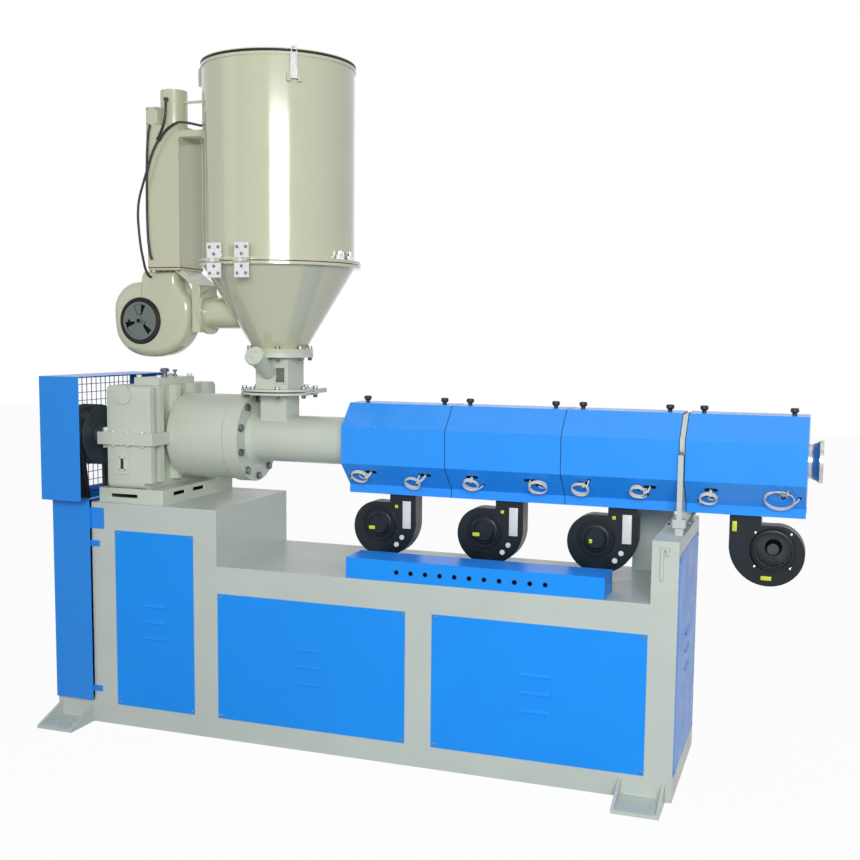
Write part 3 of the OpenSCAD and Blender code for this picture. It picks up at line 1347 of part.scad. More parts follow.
// Heater box and the parts around it
heater_x = 130;
air_tube_h = 134;
heater_in = x0 + heater_x;
heater_out = heater_in + heater_l;
heater_flange = 13;
box_seal = 3;
element_n = 5;
element_d = 12;
arm_w = 22;
arm_t = 6;
terminal_l = 48;
tube_arm_z = heater_top + air_tube_h * 0.66;
module heater_box() {
  cx = heater_in + heater_l / 2;
  color([0.76, 0.78, 0.7]) {
    difference() {
      block([heater_in, -heater_half_w, heater_low + box_seal], [heater_out, heater_half_w, heater_top]);
      block([heater_in + hopper_t, hopper_t - heater_half_w, heater_low + box_seal - cut],
        [heater_out - hopper_t, heater_half_w - hopper_t, heater_top - hopper_t]);
      translate([cx, 0, heater_top - 2 * hopper_t])
          cylinder(d = air_tube_d - 2 * hopper_t, h = 4 * hopper_t);
    }
    translate([cx, 0, heater_top]) difference() {
      cylinder(d = air_tube_d, h = air_tube_h);
      translate([0, 0, -cut]) cylinder(d = air_tube_d - 2 * hopper_t, h = air_tube_h - hopper_t);
    }
    block([heater_in, -heater_half_w, heater_top], [heater_in + terminal_l, -terminal_l,
        heater_top + air_tube_h / 2]);
    difference() {
      union() {
        block([cx, -arm_w / 2, tube_arm_z], [hopper, arm_w / 2, tube_arm_z + arm_t]);
        block([heater_out - arm_t, -heater_half_w, heater_top - 2 * arm_w],
            [hopper, -heater_half_w + arm_t, heater_top - arm_w]);
        block([heater_out - arm_t, heater_half_w - arm_t, heater_top - 2 * arm_w],
            [hopper, heater_half_w, heater_top - arm_w]);
      }
      translate([hopper, 0, ring_z]) cylinder(d = hopper_d, h = hopper_top - ring_z);
      translate([cx, 0, heater_top]) cylinder(d = air_tube_d - hopper_t, h = air_tube_h);
      block([heater_in, -heater_half_w + hopper_t, heater_low],
          [heater_out - hopper_t, heater_half_w - hopper_t, heater_top - hopper_t]);
    }
  }
  color([0.5, 0.45, 0.4]) for (i = [1 : element_n])
    translate([cx, 0, heater_low + i * (heater_top - heater_low) / (element_n + 1)])
        bar_y(element_d, 2 * heater_half_w - hopper_t);
}

module box_gasket() {
  color([0.5, 0.1, 0.08]) difference() {
    block([heater_in, -heater_half_w, heater_low], [heater_in + heater_l, heater_half_w,
        heater_low + box_seal]);
    block([heater_in + heater_flange, heater_flange - heater_half_w, heater_low - cut],
      [heater_in + heater_l - heater_flange, heater_half_w - heater_flange, heater_low + box_seal + cut]);
  }
}

// Dryer blower: a cast scroll under the heater box, with its motor behind
duct_split = 98;
fan_wall = 4;
fan_r = 122;
fan_outline_shares = [
  [0.08, 1.57], [0.08, 1.2], [-0.44, 1.13], [-0.82, 0.86], [-1, 0.48], [-1, -0.08], [-0.89, -0.54],
      [-0.51, -0.92],
  [0.08, -1.08], [0.74, -1.03], [1.21, -0.79], [1.52, -0.41], [1.66, 0.08], [1.67, 0.61], [1.23, 1.07],
      [1.23, 1.57]
];
fan_inner_share = 0.943;
dryer_fan_x = 76;
dryer_inlet_d = 172;
fan_motor_d = 126;
fan_motor_l = 96;
fan_base_t = 8;
fan_axle_d = 14;
fan_x = x0 + dryer_fan_x;
shutter_d = 140;
shutter_t = 3;
slot_n = 3;
module fan_shape() intersection() {
  polygon(fan_r * fan_outline_shares);
  translate([-2 * dryer_fan_w, -2 * dryer_fan_w])
      square([4 * dryer_fan_w, 2 * dryer_fan_w + heater_low - fan_base_t - dryer_fan_z]);
}

// Three wedge slots round the inlet
module wedges(r0, r1, depth) for (i = [0 : slot_n - 1]) rotate([0, 360 * i / slot_n, 0]) along_y(depth)
  polygon([r0 * [cos(65), sin(65)], r1 * [cos(65), sin(65)], r1 * [cos(90), sin(90)],
      r1 * [cos(115), sin(115)], r0 * [cos(115), sin(115)]]);

module dryer_blower() color([0.75, 0.77, 0.68]) {
  fan_top = heater_low - fan_base_t - dryer_fan_z;
  difference() {
    union() {
      translate([fan_x, 0, dryer_fan_z]) {
        along_y(dryer_fan_w) fan_shape();
        translate([0, -dryer_fan_w / 2 - fan_wall, 0]) bar_y(dryer_inlet_d, 2 * fan_wall);
        translate([0, dryer_fan_w / 2 + fan_motor_l / 2, 0]) bar_y(fan_motor_d, fan_motor_l);
      }
      block([heater_in, -heater_half_w, heater_low - fan_base_t], [heater_out, heater_half_w, heater_low]);
    }
    translate([fan_x, 0, dryer_fan_z]) {
      along_y(dryer_fan_w - 2 * fan_wall) scale(fan_inner_share) fan_shape();
      translate([0, -dryer_fan_w / 2 - fan_wall, 0])
          wedges(shutter_d / 6, shutter_d / 2 - 2 * fan_wall, 6 * fan_wall);
      translate([0, -dryer_fan_w / 2 - 2 * fan_wall, 0])
          bar_y(shutter_d + 2 * fit_gap, 2 * (shutter_t + fit_gap));
      translate([0, dryer_fan_w / 2 + fan_motor_l / 4, 0]) bar_y(fan_axle_d + 2 * shaft_gap, fan_motor_l);
    }
    block([fan_x + 2 * fan_wall + fan_r * fan_outline_shares[0][0], 2 * fan_wall - dryer_fan_w / 2,
        heater_low - 4 * fan_wall - fan_base_t],
      [heater_in + duct_split - fan_wall, dryer_fan_w / 2 - 2 * fan_wall, heater_low + cut]);
    block([heater_in + duct_split + fan_wall, -duct_half_w + fan_wall, heater_low - 2 * fan_base_t],
      [heater_out - 2 * fan_wall, duct_half_w - fan_wall, heater_low + cut]);
  }
}

module dryer_wheel() color([0.3, 0.32, 0.33]) translate([fan_x, 0, dryer_fan_z]) rotate([0, 0, 180])
  blade_wheel(1.86 * (dryer_fan_w - fan_base_t) - 2 * fan_axle_d, dryer_fan_w - 6 * fan_wall, blades_n,
      fan_axle_d, fan_motor_l / 3);

module inlet_shutter() color([0.36, 0.42, 0.39])
    translate([fan_x, -dryer_fan_w / 2 - 2 * fan_wall, dryer_fan_z]) difference() {
  union() {
    translate([0, -shutter_t / 2 + shutter_t, 0]) bar_y(shutter_d, shutter_t);
    translate([0, -shutter_t, 0]) bar_y(shutter_d / 6, 2 * shutter_t);
  }
  wedges(shutter_d / 6, shutter_d / 2 - 2 * fan_wall, 6 * fan_wall);
}

// Hot-air duct from the heater box's right half down to the pipe into the cone
duct_half_w = 62;
duct_low_drop = 72;
duct_bend_rise = 99;
duct_low = air_pipe_z - duct_low_drop;
duct_bend = air_pipe_z + duct_bend_rise;
duct_depth = 32;
module hot_air_duct() {
  in = heater_in + duct_split;
  out = pipe_start - fit_gap;
  top = heater_low - fan_base_t;
  t = hopper_t;
  color([0.72, 0.75, 0.68]) difference() {
    along_y(2 * duct_half_w) polygon([
      [in, top], [in, top - t], [out - duct_depth, duct_bend], [out - duct_depth, duct_low],
      [out, duct_low], [out, duct_bend], [heater_out, top]]);
    along_y(2 * duct_half_w - 2 * t) polygon([
      [in + 2 * t, top + cut], [in + 2 * t, top - t], [out - duct_depth + t, duct_bend],
          [out - duct_depth + t, duct_low + t],
      [out - t, duct_low + t], [out - t, duct_bend - t], [heater_out - 2 * t, top - t],
          [heater_out - 2 * t, top + cut]]);
    translate([out - 2 * t, 0, air_pipe_z]) bar_x(air_pipe_d - 2 * t, 4 * t);
  }
}

// Dryer cables: routes in X, Y and Z from the frame's left end, each a smooth tube
cable_d = 9;
cable_routes = [
  [[197, -51.4, 2262], [202, -60, 2262], [214, -80, 2258], [222, -98, 2235], [222, -100, 2200],
      [212, -98, 2165],
   [196, -95, 2135], [186, -91.5, 2121], [184.5, -85.2, 2118]],
  [[359.5, -60, 2160], [340, -62, 2161], [304, -84, 2168], [270, -100, 2168], [230, -104, 2146],
      [196, -104, 2112], [168, -104, 2066],
   [148, -104, 2014], [128, -104, 1960], [110, -104, 1904], [104, -104, 1850], [106, -102, 1790],
       [112, -100, 1730],
   [118, -96, 1690], [120, -88, 1660], [122, -76, 1640], [124, -65, 1630], [124, -55.8, 1628]],
  [[150, -88, 2170], [142, -88, 2140], [136, -88, 2080], [133, -88, 2000], [132, -88, 1920],
      [132, -88, 1840],
   [135, -88, 1760], [142, -88, 1710], [150, -88, 1690]]
];
function bent(a, b, c, d, t) = (2 * b + (c - a) * t + (2 * a - 5 * b + 4 * c - d) * t * t
  + (3 * b - a - 3 * c + d) * t * t * t) / 2;
function smooth(p, n) = [for (i = [0 : len(p) - 2]) for (k = [0 : (i == len(p) - 2 ? n : n - 1)])
  bent(p[max(i - 1, 0)], p[i], p[i + 1], p[min(i + 2, len(p) - 1)], k / n)];
module dryer_cables() color([0.2, 0.2, 0.22]) for (r = cable_routes)
  translate([x0, 0, 0]) tube_along(smooth(r, 2), cable_d / 2, 8);

base_frame();
tower_panel();
bench_panels();
rear_panels();
end_panel();
panel_screws();
belt_guard();
guard_mesh();
belt_duct();
drive_motor();
motor_pulley();
v_belts();
gearbox_riser();
gearbox_lower();
gearbox_upper();
gearbox_cover();
oil_sight_glass();
input_pulley();
input_pinion();
output_gear();
thrust_housing();
flange_bolts();
feed_throat();
barrel();
extruder_screw();
heater_bands();
cover(0);  // cover_1
cover(1);  // cover_2
cover(2);  // cover_3
cover(3);  // cover_4
cover_pans();
cover_knobs();
heater_leads();
blower_unit(0);  // blower_1
blower_unit(1);  // blower_2
blower_unit(2);  // blower_3
blower_unit(3);  // blower_4
wheel_unit(0);  // wheel_1
wheel_unit(1);  // wheel_2
wheel_unit(2);  // wheel_3
wheel_unit(3);  // wheel_4
wiring_tray();
support_lower();
support_upper();
slide_gate();
hopper_base();
hopper_cone();
tilt_hinge();
ring_clamps();
hopper_body();
hopper_lid();
lid_gasket();
lid_latch();
heater_box();
box_gasket();
dryer_blower();
dryer_wheel();
inlet_shutter();
hot_air_duct();
dryer_cables();
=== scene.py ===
# Dresses a single-screw plastics extruder: painted frame, gearbox, covered barrel and hopper dryer.
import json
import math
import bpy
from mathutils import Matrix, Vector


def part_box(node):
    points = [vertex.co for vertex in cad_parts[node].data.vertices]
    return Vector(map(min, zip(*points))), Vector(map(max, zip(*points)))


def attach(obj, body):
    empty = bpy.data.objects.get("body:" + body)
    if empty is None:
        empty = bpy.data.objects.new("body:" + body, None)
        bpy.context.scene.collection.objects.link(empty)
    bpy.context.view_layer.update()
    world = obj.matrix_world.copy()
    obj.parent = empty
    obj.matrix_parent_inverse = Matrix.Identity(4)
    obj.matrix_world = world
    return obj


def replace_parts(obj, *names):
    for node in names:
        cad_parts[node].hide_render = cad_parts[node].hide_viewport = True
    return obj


bl_info = {
    "name": "Micro extruder",
    "version": (1, 0, 0),
    "blender": (4, 5, 0),
    "location": "View3D > Sidebar > Extruder",
    "description": "Builds the finishes, leads and small fittings of a plastics extruder",
    "category": "Object",
}

import bmesh
import bpy
from bpy.props import FloatProperty, FloatVectorProperty, IntProperty, PointerProperty
from mathutils import Matrix, Vector

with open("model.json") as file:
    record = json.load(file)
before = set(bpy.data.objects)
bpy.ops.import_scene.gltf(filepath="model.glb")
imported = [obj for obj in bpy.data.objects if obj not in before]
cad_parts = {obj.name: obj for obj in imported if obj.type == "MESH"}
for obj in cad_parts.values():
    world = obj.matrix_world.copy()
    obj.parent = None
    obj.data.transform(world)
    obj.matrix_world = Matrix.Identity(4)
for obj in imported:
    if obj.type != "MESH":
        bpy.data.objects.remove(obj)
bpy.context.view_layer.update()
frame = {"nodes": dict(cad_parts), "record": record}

MM = 0.001
FRAME_LEFT = -0.960
AXIS_Z = 1.048
X_AXIS, Z_AXIS = Vector((1, 0, 0)), Vector((0, 0, 1))
FRONTWARD, UPWARD, DOWNWARD = (0, -1, 0), (0, 0, 1), (0, 0, -1)


def screen_colour(red, green, blue):
    """Linear colour from screen values of 0 to 255."""
    return tuple((value / 255) ** 2.2 for value in (red, green, blue))


def body_of_node(node):
    """Name of the moving body that carries a CAD node."""
    for body, members in frame["record"]["behaviour"]["bodies"].items():
        if node in members:
            return body
    raise ValueError("no body carries " + node)


def slot_of_node(node):
    """Name of the finish of a CAD node."""
    for part in frame["record"]["subparts"]:
        if part["node"] == node:
            return part["material_slot"]
    raise ValueError("no finish for " + node)


# Sizes and colours a user would change
class PaintLook(bpy.types.PropertyGroup):
    """Colours of the painted pieces."""

    frame_colour: FloatVectorProperty(
        name="Frame", description="Grey-green paint of the frame", subtype="COLOR",
        default=screen_colour(193, 203, 196), min=0, max=1)
    gearbox_colour: FloatVectorProperty(
        name="Gearbox", description="Pale paint of the gearbox and the feed section", subtype="COLOR",
        default=screen_colour(200, 208, 194), min=0, max=1)
    panel_colour: FloatVectorProperty(
        name="Panels", description="Blue of the panels, the tray and the covers", subtype="COLOR",
        default=screen_colour(40, 151, 255), min=0, max=1)
    hopper_colour: FloatVectorProperty(
        name="Hopper", description="Beige-green paint of the hopper dryer", subtype="COLOR",
        default=screen_colour(197, 199, 172), min=0, max=1)
    blower_colour: FloatVectorProperty(
        name="Blowers", description="Near-black paint of the cooling blowers", subtype="COLOR",
        default=screen_colour(20, 31, 38), min=0, max=1)
    dust: FloatProperty(
        name="Dust", description="Dust that lies on upward faces", default=0.16, min=0, max=1)


class FittingSizes(bpy.types.PropertyGroup):
    """Sizes of the small fittings."""

    seam_bolt: FloatProperty(
        name="Seam bolt", description="Size across the flats of the gearbox bolts", subtype="DISTANCE",
        default=22 * MM, min=10 * MM, max=30 * MM)
    flange_bolt: FloatProperty(
        name="Flange bolt", description="Size across the flats of the hopper's flange bolts",
        subtype="DISTANCE", default=15 * MM, min=8 * MM, max=20 * MM)
    lead_thickness: FloatProperty(
        name="Heater lead", description="Diameter of a heater lead", subtype="DISTANCE",
        default=4 * MM, min=3 * MM, max=4.2 * MM)
    weld_width: FloatProperty(
        name="Weld", description="Width of a weld bead on the frame", subtype="DISTANCE",
        default=6 * MM, min=3 * MM, max=10 * MM)
    tray_holes: IntProperty(
        name="Tray holes", description="Number of edged holes in the wiring tray", default=11, min=1, max=11)


class StageLook(bpy.types.PropertyGroup):
    """Floor and lamps."""

    floor_colour: FloatVectorProperty(
        name="Floor", description="Pale floor", subtype="COLOR", default=(0.86, 0.86, 0.86), min=0, max=1)
    key_power: FloatProperty(name="Key lamp", description="Power of the front lamp in watts",
                             default=160, min=0, max=2000)
    fill_power: FloatProperty(name="Fill lamp", description="Power of the left-hand lamp in watts",
                              default=14, min=0, max=2000)
    top_power: FloatProperty(name="Top lamp", description="Power of the lamp above in watts",
                             default=12, min=0, max=2000)


# Shader node groups
def feed(tree, value, socket):
    """Link a socket to an input, or set the input to a number or a colour."""
    if hasattr(value, "is_output"):
        tree.links.new(value, socket)
    else:
        socket.default_value = value


def new_group(name, inputs):
    """Shader group that puts out a colour, a roughness and a height, with what it is given and its place."""
    group = bpy.data.node_groups.new(name, "ShaderNodeTree")
    for label, kind, value in inputs:
        socket = group.interface.new_socket(label, in_out="INPUT", socket_type="NodeSocket" + kind)
        socket.default_value = value
    for label, kind in (("Colour", "Color"), ("Roughness", "Float"), ("Height", "Float")):
        group.interface.new_socket(label, in_out="OUTPUT", socket_type="NodeSocket" + kind)
    given = group.nodes.new("NodeGroupInput").outputs
    place = group.nodes.new("ShaderNodeTexCoord").outputs["Object"]
    return group, given, place


def end_group(group, colour, rough, height):
    """Link a group's three results to its outputs."""
    end = group.nodes.new("NodeGroupOutput")
    for label, value in (("Colour", colour), ("Roughness", rough), ("Height", height)):
        group.links.new(value, end.inputs[label])


def noise_node(tree, vector, scale, detail, rough=0.5):
    """Noise over the piece's own coordinates."""
    node = tree.nodes.new("ShaderNodeTexNoise")
    node.inputs["Detail"].default_value = detail
    node.inputs["Roughness"].default_value = rough
    tree.links.new(vector, node.inputs["Vector"])
    feed(tree, scale, node.inputs["Scale"])
    return node.outputs["Fac"]


def math_node(tree, kind, first, second, clamp=False):
    """One arithmetic step between sockets or numbers."""
    node = tree.nodes.new("ShaderNodeMath")
    node.operation = kind
    node.use_clamp = clamp
    feed(tree, first, node.inputs[0])
    feed(tree, second, node.inputs[1])
    return node.outputs[0]


def ramp_node(tree, value, low, high, out_low=0.0, out_high=1.0):
    """Smooth step of a value between two limits."""
    node = tree.nodes.new("ShaderNodeMapRange")
    node.interpolation_type = "SMOOTHSTEP"
    tree.links.new(value, node.inputs["Value"])
    for label, number in (("From Min", low), ("From Max", high), ("To Min", out_low), ("To Max", out_high)):
        node.inputs[label].default_value = number
    return node.outputs["Result"]


def gloss_node(group, value, given, low, high):
    """Roughness between the group's two gloss limits, by a value's place between two numbers."""
    node = group.nodes.new("ShaderNodeMapRange")
    for label, number in (("Value", value), ("To Min", given["Gloss low"]), ("To Max", given["Gloss high"]),
                          ("From Min", low), ("From Max", high)):
        feed(group, number, node.inputs[label])
    return node.outputs["Result"]


def toned_node(group, value, colour):
    """Colour made darker or lighter by a value."""
    node = group.nodes.new("ShaderNodeHueSaturation")
    group.links.new(value, node.inputs["Value"])
    group.links.new(colour, node.inputs["Color"])
    return node.outputs["Color"]


def mix_colour(tree, factor, first, second):
    """Mix of two colours by a mask."""
    node = tree.nodes.new("ShaderNodeMix")
    node.data_type = "RGBA"
    tree.links.new(factor, node.inputs["Factor"])
    for label, value in (("A", first), ("B", second)):
        feed(tree, value, [s for s in node.inputs if s.name == label and s.type == "RGBA"][0])
    return [s for s in node.outputs if s.type == "RGBA"][0]


DUST_COLOUR = (0.62, 0.6, 0.55, 1)
SCUFF_COLOUR = (0.8, 0.8, 0.8, 1)
STAIN_COLOUR = (0.16, 0.14, 0.12, 1)
RUBBED_COLOUR = (0.42, 0.42, 0.4, 1)


def paint_group():
    """Sprayed paint: cloudy shade, orange peel, dust on upward faces and fine scuffs."""
    group, given, place = new_group("Sprayed paint", [
        ("Colour", "Color", (0.5, 0.5, 0.5, 1)), ("Shade spread", "Float", 0.08), ("Dust", "Float", 0.2),
        ("Peel scale", "Float", 500), ("Gloss low", "Float", 0.3), ("Gloss high", "Float", 0.45),
        ("Scuffs", "Float", 0.3)])
    cloud = noise_node(group, place, 2.4, 4)
    patch = noise_node(group, place, 9, 5, 0.6)
    peel = noise_node(group, place, given["Peel scale"], 2)
    stretched = group.nodes.new("ShaderNodeMapping")
    stretched.inputs["Scale"].default_value = (7, 7, 34)
    group.links.new(place, stretched.inputs["Vector"])
    scuff = ramp_node(group, noise_node(group, stretched.outputs[0], 3, 8, 0.7), 0.63, 0.72)
    scuff = math_node(group, "MULTIPLY", scuff, given["Scuffs"], True)
    shade = math_node(group, "ADD", math_node(group, "SUBTRACT", cloud, 0.5),
                      math_node(group, "MULTIPLY", math_node(group, "SUBTRACT", patch, 0.5), 0.6))
    shade = math_node(group, "ADD", math_node(group, "MULTIPLY", shade, given["Shade spread"]), 1.0)
    toned = toned_node(group, shade, given["Colour"])
    facing = group.nodes.new("ShaderNodeSeparateXYZ")
    group.links.new(group.nodes.new("ShaderNodeNewGeometry").outputs["Normal"], facing.inputs[0])
    upward = ramp_node(group, facing.outputs["Z"], 0.4, 1.0)
    dusty = math_node(group, "MULTIPLY", upward, ramp_node(group, patch, 0.3, 0.75, 0.35, 1.0))
    dusty = math_node(group, "MULTIPLY", dusty, given["Dust"], True)
    colour = mix_colour(group, dusty, toned, DUST_COLOUR)
    colour = mix_colour(group, math_node(group, "MULTIPLY", scuff, 0.25), colour, SCUFF_COLOUR)
    gloss = gloss_node(group, patch, given, 0.3, 0.7)
    worn = math_node(group, "ADD", dusty, math_node(group, "MULTIPLY", scuff, 0.4))
    rough = math_node(group, "ADD", gloss, math_node(group, "MULTIPLY", worn, 0.5), True)
    height = math_node(group, "ADD", math_node(group, "MULTIPLY", peel, 0.5),
                       math_node(group, "MULTIPLY", noise_node(group, place, 40, 2), 0.5))
    end_group(group, colour, rough, height)


def metal_group():
    """Machined metal: fine streaks along one direction with stains."""
    group, given, place = new_group("Machined metal", [
        ("Colour", "Color", (0.6, 0.6, 0.6, 1)), ("Streaks", "Vector", (40, 400, 400)),
        ("Gloss low", "Float", 0.2), ("Gloss high", "Float", 0.4), ("Stain", "Float", 0.2)])
    mapped = group.nodes.new("ShaderNodeMapping")
    group.links.new(place, mapped.inputs["Vector"])
    group.links.new(given["Streaks"], mapped.inputs["Scale"])
    streak = noise_node(group, mapped.outputs[0], 1.0, 3)
    stain = ramp_node(group, noise_node(group, place, 14, 5, 0.65), 0.42, 0.7)
    stain = math_node(group, "MULTIPLY", stain, given["Stain"], True)
    toned = toned_node(group, ramp_node(group, streak, 0.2, 0.8, 0.86, 1.1), given["Colour"])
    gloss = gloss_node(group, streak, given, 0.25, 0.75)
    rough = math_node(group, "ADD", gloss, math_node(group, "MULTIPLY", stain, 0.4), True)
    end_group(group, mix_colour(group, stain, toned, STAIN_COLOUR), rough, streak)


def grain_group():
    """Moulded or cast skin: speckled grain with rubbed, greyer patches."""
    group, given, place = new_group("Moulded grain", [
        ("Colour", "Color", (0.1, 0.1, 0.1, 1)), ("Grain scale", "Float", 900),
        ("Gloss low", "Float", 0.45), ("Gloss high", "Float", 0.65), ("Rubbed", "Float", 0.15)])
    grain = noise_node(group, place, given["Grain scale"], 3, 0.6)
    patch = noise_node(group, place, 11, 5, 0.6)
    rubbed = math_node(group, "MULTIPLY", ramp_node(group, patch, 0.45, 0.72), given["Rubbed"], True)
    colour = mix_colour(group, rubbed, given["Colour"], RUBBED_COLOUR)
    end_group(group, colour, gloss_node(group, patch, given, 0.3, 0.7), grain)


# Materials
def new_material(name):
    """Material with its tree and its Principled shader."""
    material = bpy.data.materials.new(name)
    material.use_nodes = True
    return material, material.node_tree, material.node_tree.nodes["Principled BSDF"]


def surface(name, group, values, bump, depth, metallic=0.0, coat=0.0, sheen_level=0.5):
    """Principled material whose colour, roughness and bump come from one group."""
    material, tree, shader = new_material(name)
    texture = tree.nodes.new("ShaderNodeGroup")
    texture.node_tree = bpy.data.node_groups[group]
    for label, value in values.items():
        texture.inputs[label].default_value = value
    raised = tree.nodes.new("ShaderNodeBump")
    raised.inputs["Strength"].default_value = bump
    raised.inputs["Distance"].default_value = depth
    for source, target in ((texture.outputs["Height"], raised.inputs["Height"]),
                           (texture.outputs["Colour"], shader.inputs["Base Color"]),
                           (texture.outputs["Roughness"], shader.inputs["Roughness"]),
                           (raised.outputs["Normal"], shader.inputs["Normal"])):
        tree.links.new(source, target)
    for label, value in (("Metallic", metallic), ("Coat Weight", coat), ("Coat Roughness", 0.12),
                         ("Specular IOR Level", sheen_level)):
        shader.inputs[label].default_value = value
    material.diffuse_color = (*values["Colour"][:3], 1)


def painted(name, colour, low, high, spread=0.16, peel=420, bump=0.25, coat=0.25, scuffs=0.25,
            dust_share=1.0, sheen_level=0.5):
    """Sprayed paint of one colour."""
    dust = dust_share * bpy.context.scene.extruder_paint.dust
    values = {"Colour": (*colour, 1), "Shade spread": spread, "Dust": dust, "Peel scale": peel,
              "Gloss low": low, "Gloss high": high, "Scuffs": scuffs}
    surface(name, "Sprayed paint", values, bump, 0.3 * MM, coat=coat, sheen_level=sheen_level)


def machined(name, colour, low, high, stain=0.15, streaks=(30, 500, 500)):
    """Bare metal of one colour."""
    values = {"Colour": (*colour, 1), "Streaks": streaks, "Gloss low": low, "Gloss high": high,
              "Stain": stain}
    surface(name, "Machined metal", values, 0.2, 0.1 * MM, metallic=1.0)


def moulded(name, colour, low, high, grain, rubbed, bump=0.35, sheen_level=0.5):
    """Plastic, rubber or cast skin of one colour."""
    values = {"Colour": (*colour, 1), "Grain scale": grain, "Gloss low": low, "Gloss high": high,
              "Rubbed": rubbed}
    surface(name, "Moulded grain", values, bump, 0.2 * MM, sheen_level=sheen_level)


def clear_glass(name, colour, rough, ior):
    """Tinted clear pane with faint smears in its roughness."""
    _, tree, shader = new_material(name)
    place = tree.nodes.new("ShaderNodeTexCoord").outputs["Object"]
    smear = ramp_node(tree, noise_node(tree, place, 60, 4), 0.3, 0.8, rough, 3 * rough)
    tree.links.new(smear, shader.inputs["Roughness"])
    shader.inputs["Base Color"].default_value = (*colour, 1)
    shader.inputs["Transmission Weight"].default_value = 0.9
    shader.inputs["IOR"].default_value = ior


def make_finishes():
    """Every material, by the name of its slot or of the small piece that has it."""
    look = bpy.context.scene.extruder_paint
    for plain in list(bpy.data.materials):
        plain.name = "plain_" + plain.name
    blue = tuple(look.panel_colour)
    deeper_blue = tuple(0.86 * value for value in blue)
    paint_group()
    metal_group()
    grain_group()
    painted("frame_paint", look.frame_colour, 0.3, 0.46, coat=0.15)
    painted("panel_blue", blue, 0.24, 0.36, 0.1, coat=0.0, dust_share=0.15, sheen_level=0.12)
    painted("guard_blue", deeper_blue, 0.24, 0.38, 0.1, coat=0.1, dust_share=0.3, sheen_level=0.3)
    painted("cover_blue", blue, 0.2, 0.32, 0.1, coat=0.15, dust_share=0.5, sheen_level=0.35)
    painted("gearbox_paint", look.gearbox_colour, 0.28, 0.46, 0.2, 180, 0.5, 0.2)
    painted("hopper_paint", look.hopper_colour, 0.1, 0.2, 0.1, 300, 0.12, 0.6, 0.1)
    painted("blower_dark", look.blower_colour, 0.3, 0.45, 0.3, 700, 0.3, 0.0, dust_share=0.4, sheen_level=0.3)
    painted("mesh_wire", screen_colour(150, 166, 205), 0.35, 0.5)
    painted("shutter_grey", screen_colour(96, 110, 104), 0.3, 0.45, 0.2)
    painted("motor_grey", screen_colour(96, 112, 128), 0.4, 0.55, 0.2, 240, 0.5)
    moulded("pulley_black", screen_colour(58, 72, 76), 0.38, 0.55, 420, 0.12, 0.5, sheen_level=0.35)
    moulded("belt_rubber", screen_colour(26, 26, 28), 0.55, 0.75, 1400, 0.2)
    moulded("seal_black", screen_colour(16, 16, 17), 0.45, 0.6, 1200, 0.05, sheen_level=0.3)
    moulded("seal_red", screen_colour(140, 32, 26), 0.5, 0.65, 1200, 0.05)
    moulded("cable_black", screen_colour(26, 27, 29), 0.35, 0.5, 1500, 0.06)
    moulded("knob_black", screen_colour(22, 22, 24), 0.3, 0.45, 1500, 0.06)
    moulded("lead_white", screen_colour(226, 221, 206), 0.6, 0.8, 2200, 0.12, 0.8)
    machined("screw_steel", screen_colour(120, 126, 134), 0.3, 0.45, 0.35)
    machined("gear_steel", screen_colour(168, 170, 174), 0.25, 0.4)
    machined("barrel_steel", screen_colour(198, 200, 204), 0.14, 0.3, 0.1, (400, 60, 60))
    machined("band_metal", screen_colour(176, 172, 160), 0.3, 0.5, 0.3)
    machined("wheel_metal", screen_colour(62, 68, 70), 0.3, 0.5, 0.2)
    machined("bright_steel", screen_colour(226, 228, 230), 0.06, 0.2, 0.05, (300, 300, 40))
    moulded("blank_label", screen_colour(226, 228, 226), 0.3, 0.42, 600, 0.25, 0.1)
    moulded("yellow_dot", screen_colour(214, 222, 52), 0.35, 0.5, 900, 0.12, 0.2)
    # Near-black finish of the joint lines, grommet rings and screws, also used as painted shade in the lead
    # slots and the dryer's inlet.
    moulded("slot_dark", screen_colour(12, 14, 20), 0.6, 0.75, 900, 0.02, 0.2, sheen_level=0.15)
    clear_glass("sight_glass", screen_colour(176, 62, 22), 0.05, 1.45)
    clear_glass("window_pane", screen_colour(236, 240, 236), 0.03, 1.49)


# Shapes shared by the pieces
def on_circle(radius, turn):
    """Two coordinates on a circle, at a turn in degrees."""
    angle = math.radians(turn)
    return radius * math.cos(angle), radius * math.sin(angle)


def turn_to(axis):
    """Rotation that takes +Z to an axis."""
    return Z_AXIS.rotation_difference(Vector(axis)).to_matrix().to_4x4()


def edges_at(verts):
    """Edges at some vertices, each once and always in the same order."""
    return list(dict.fromkeys(edge for vert in verts for edge in vert.link_edges))


def add_block(bm, low, high, round_by):
    """Box between two corners, with rounded edges."""
    low, high = Vector(low), Vector(high)
    made = bmesh.ops.create_cube(bm, size=1.0)["verts"]
    bmesh.ops.scale(bm, vec=high - low, verts=made)
    bmesh.ops.translate(bm, vec=(low + high) / 2, verts=made)
    bmesh.ops.bevel(bm, geom=edges_at(made), offset=round_by, segments=2, profile=0.5, affect="EDGES",
                    material=-1)


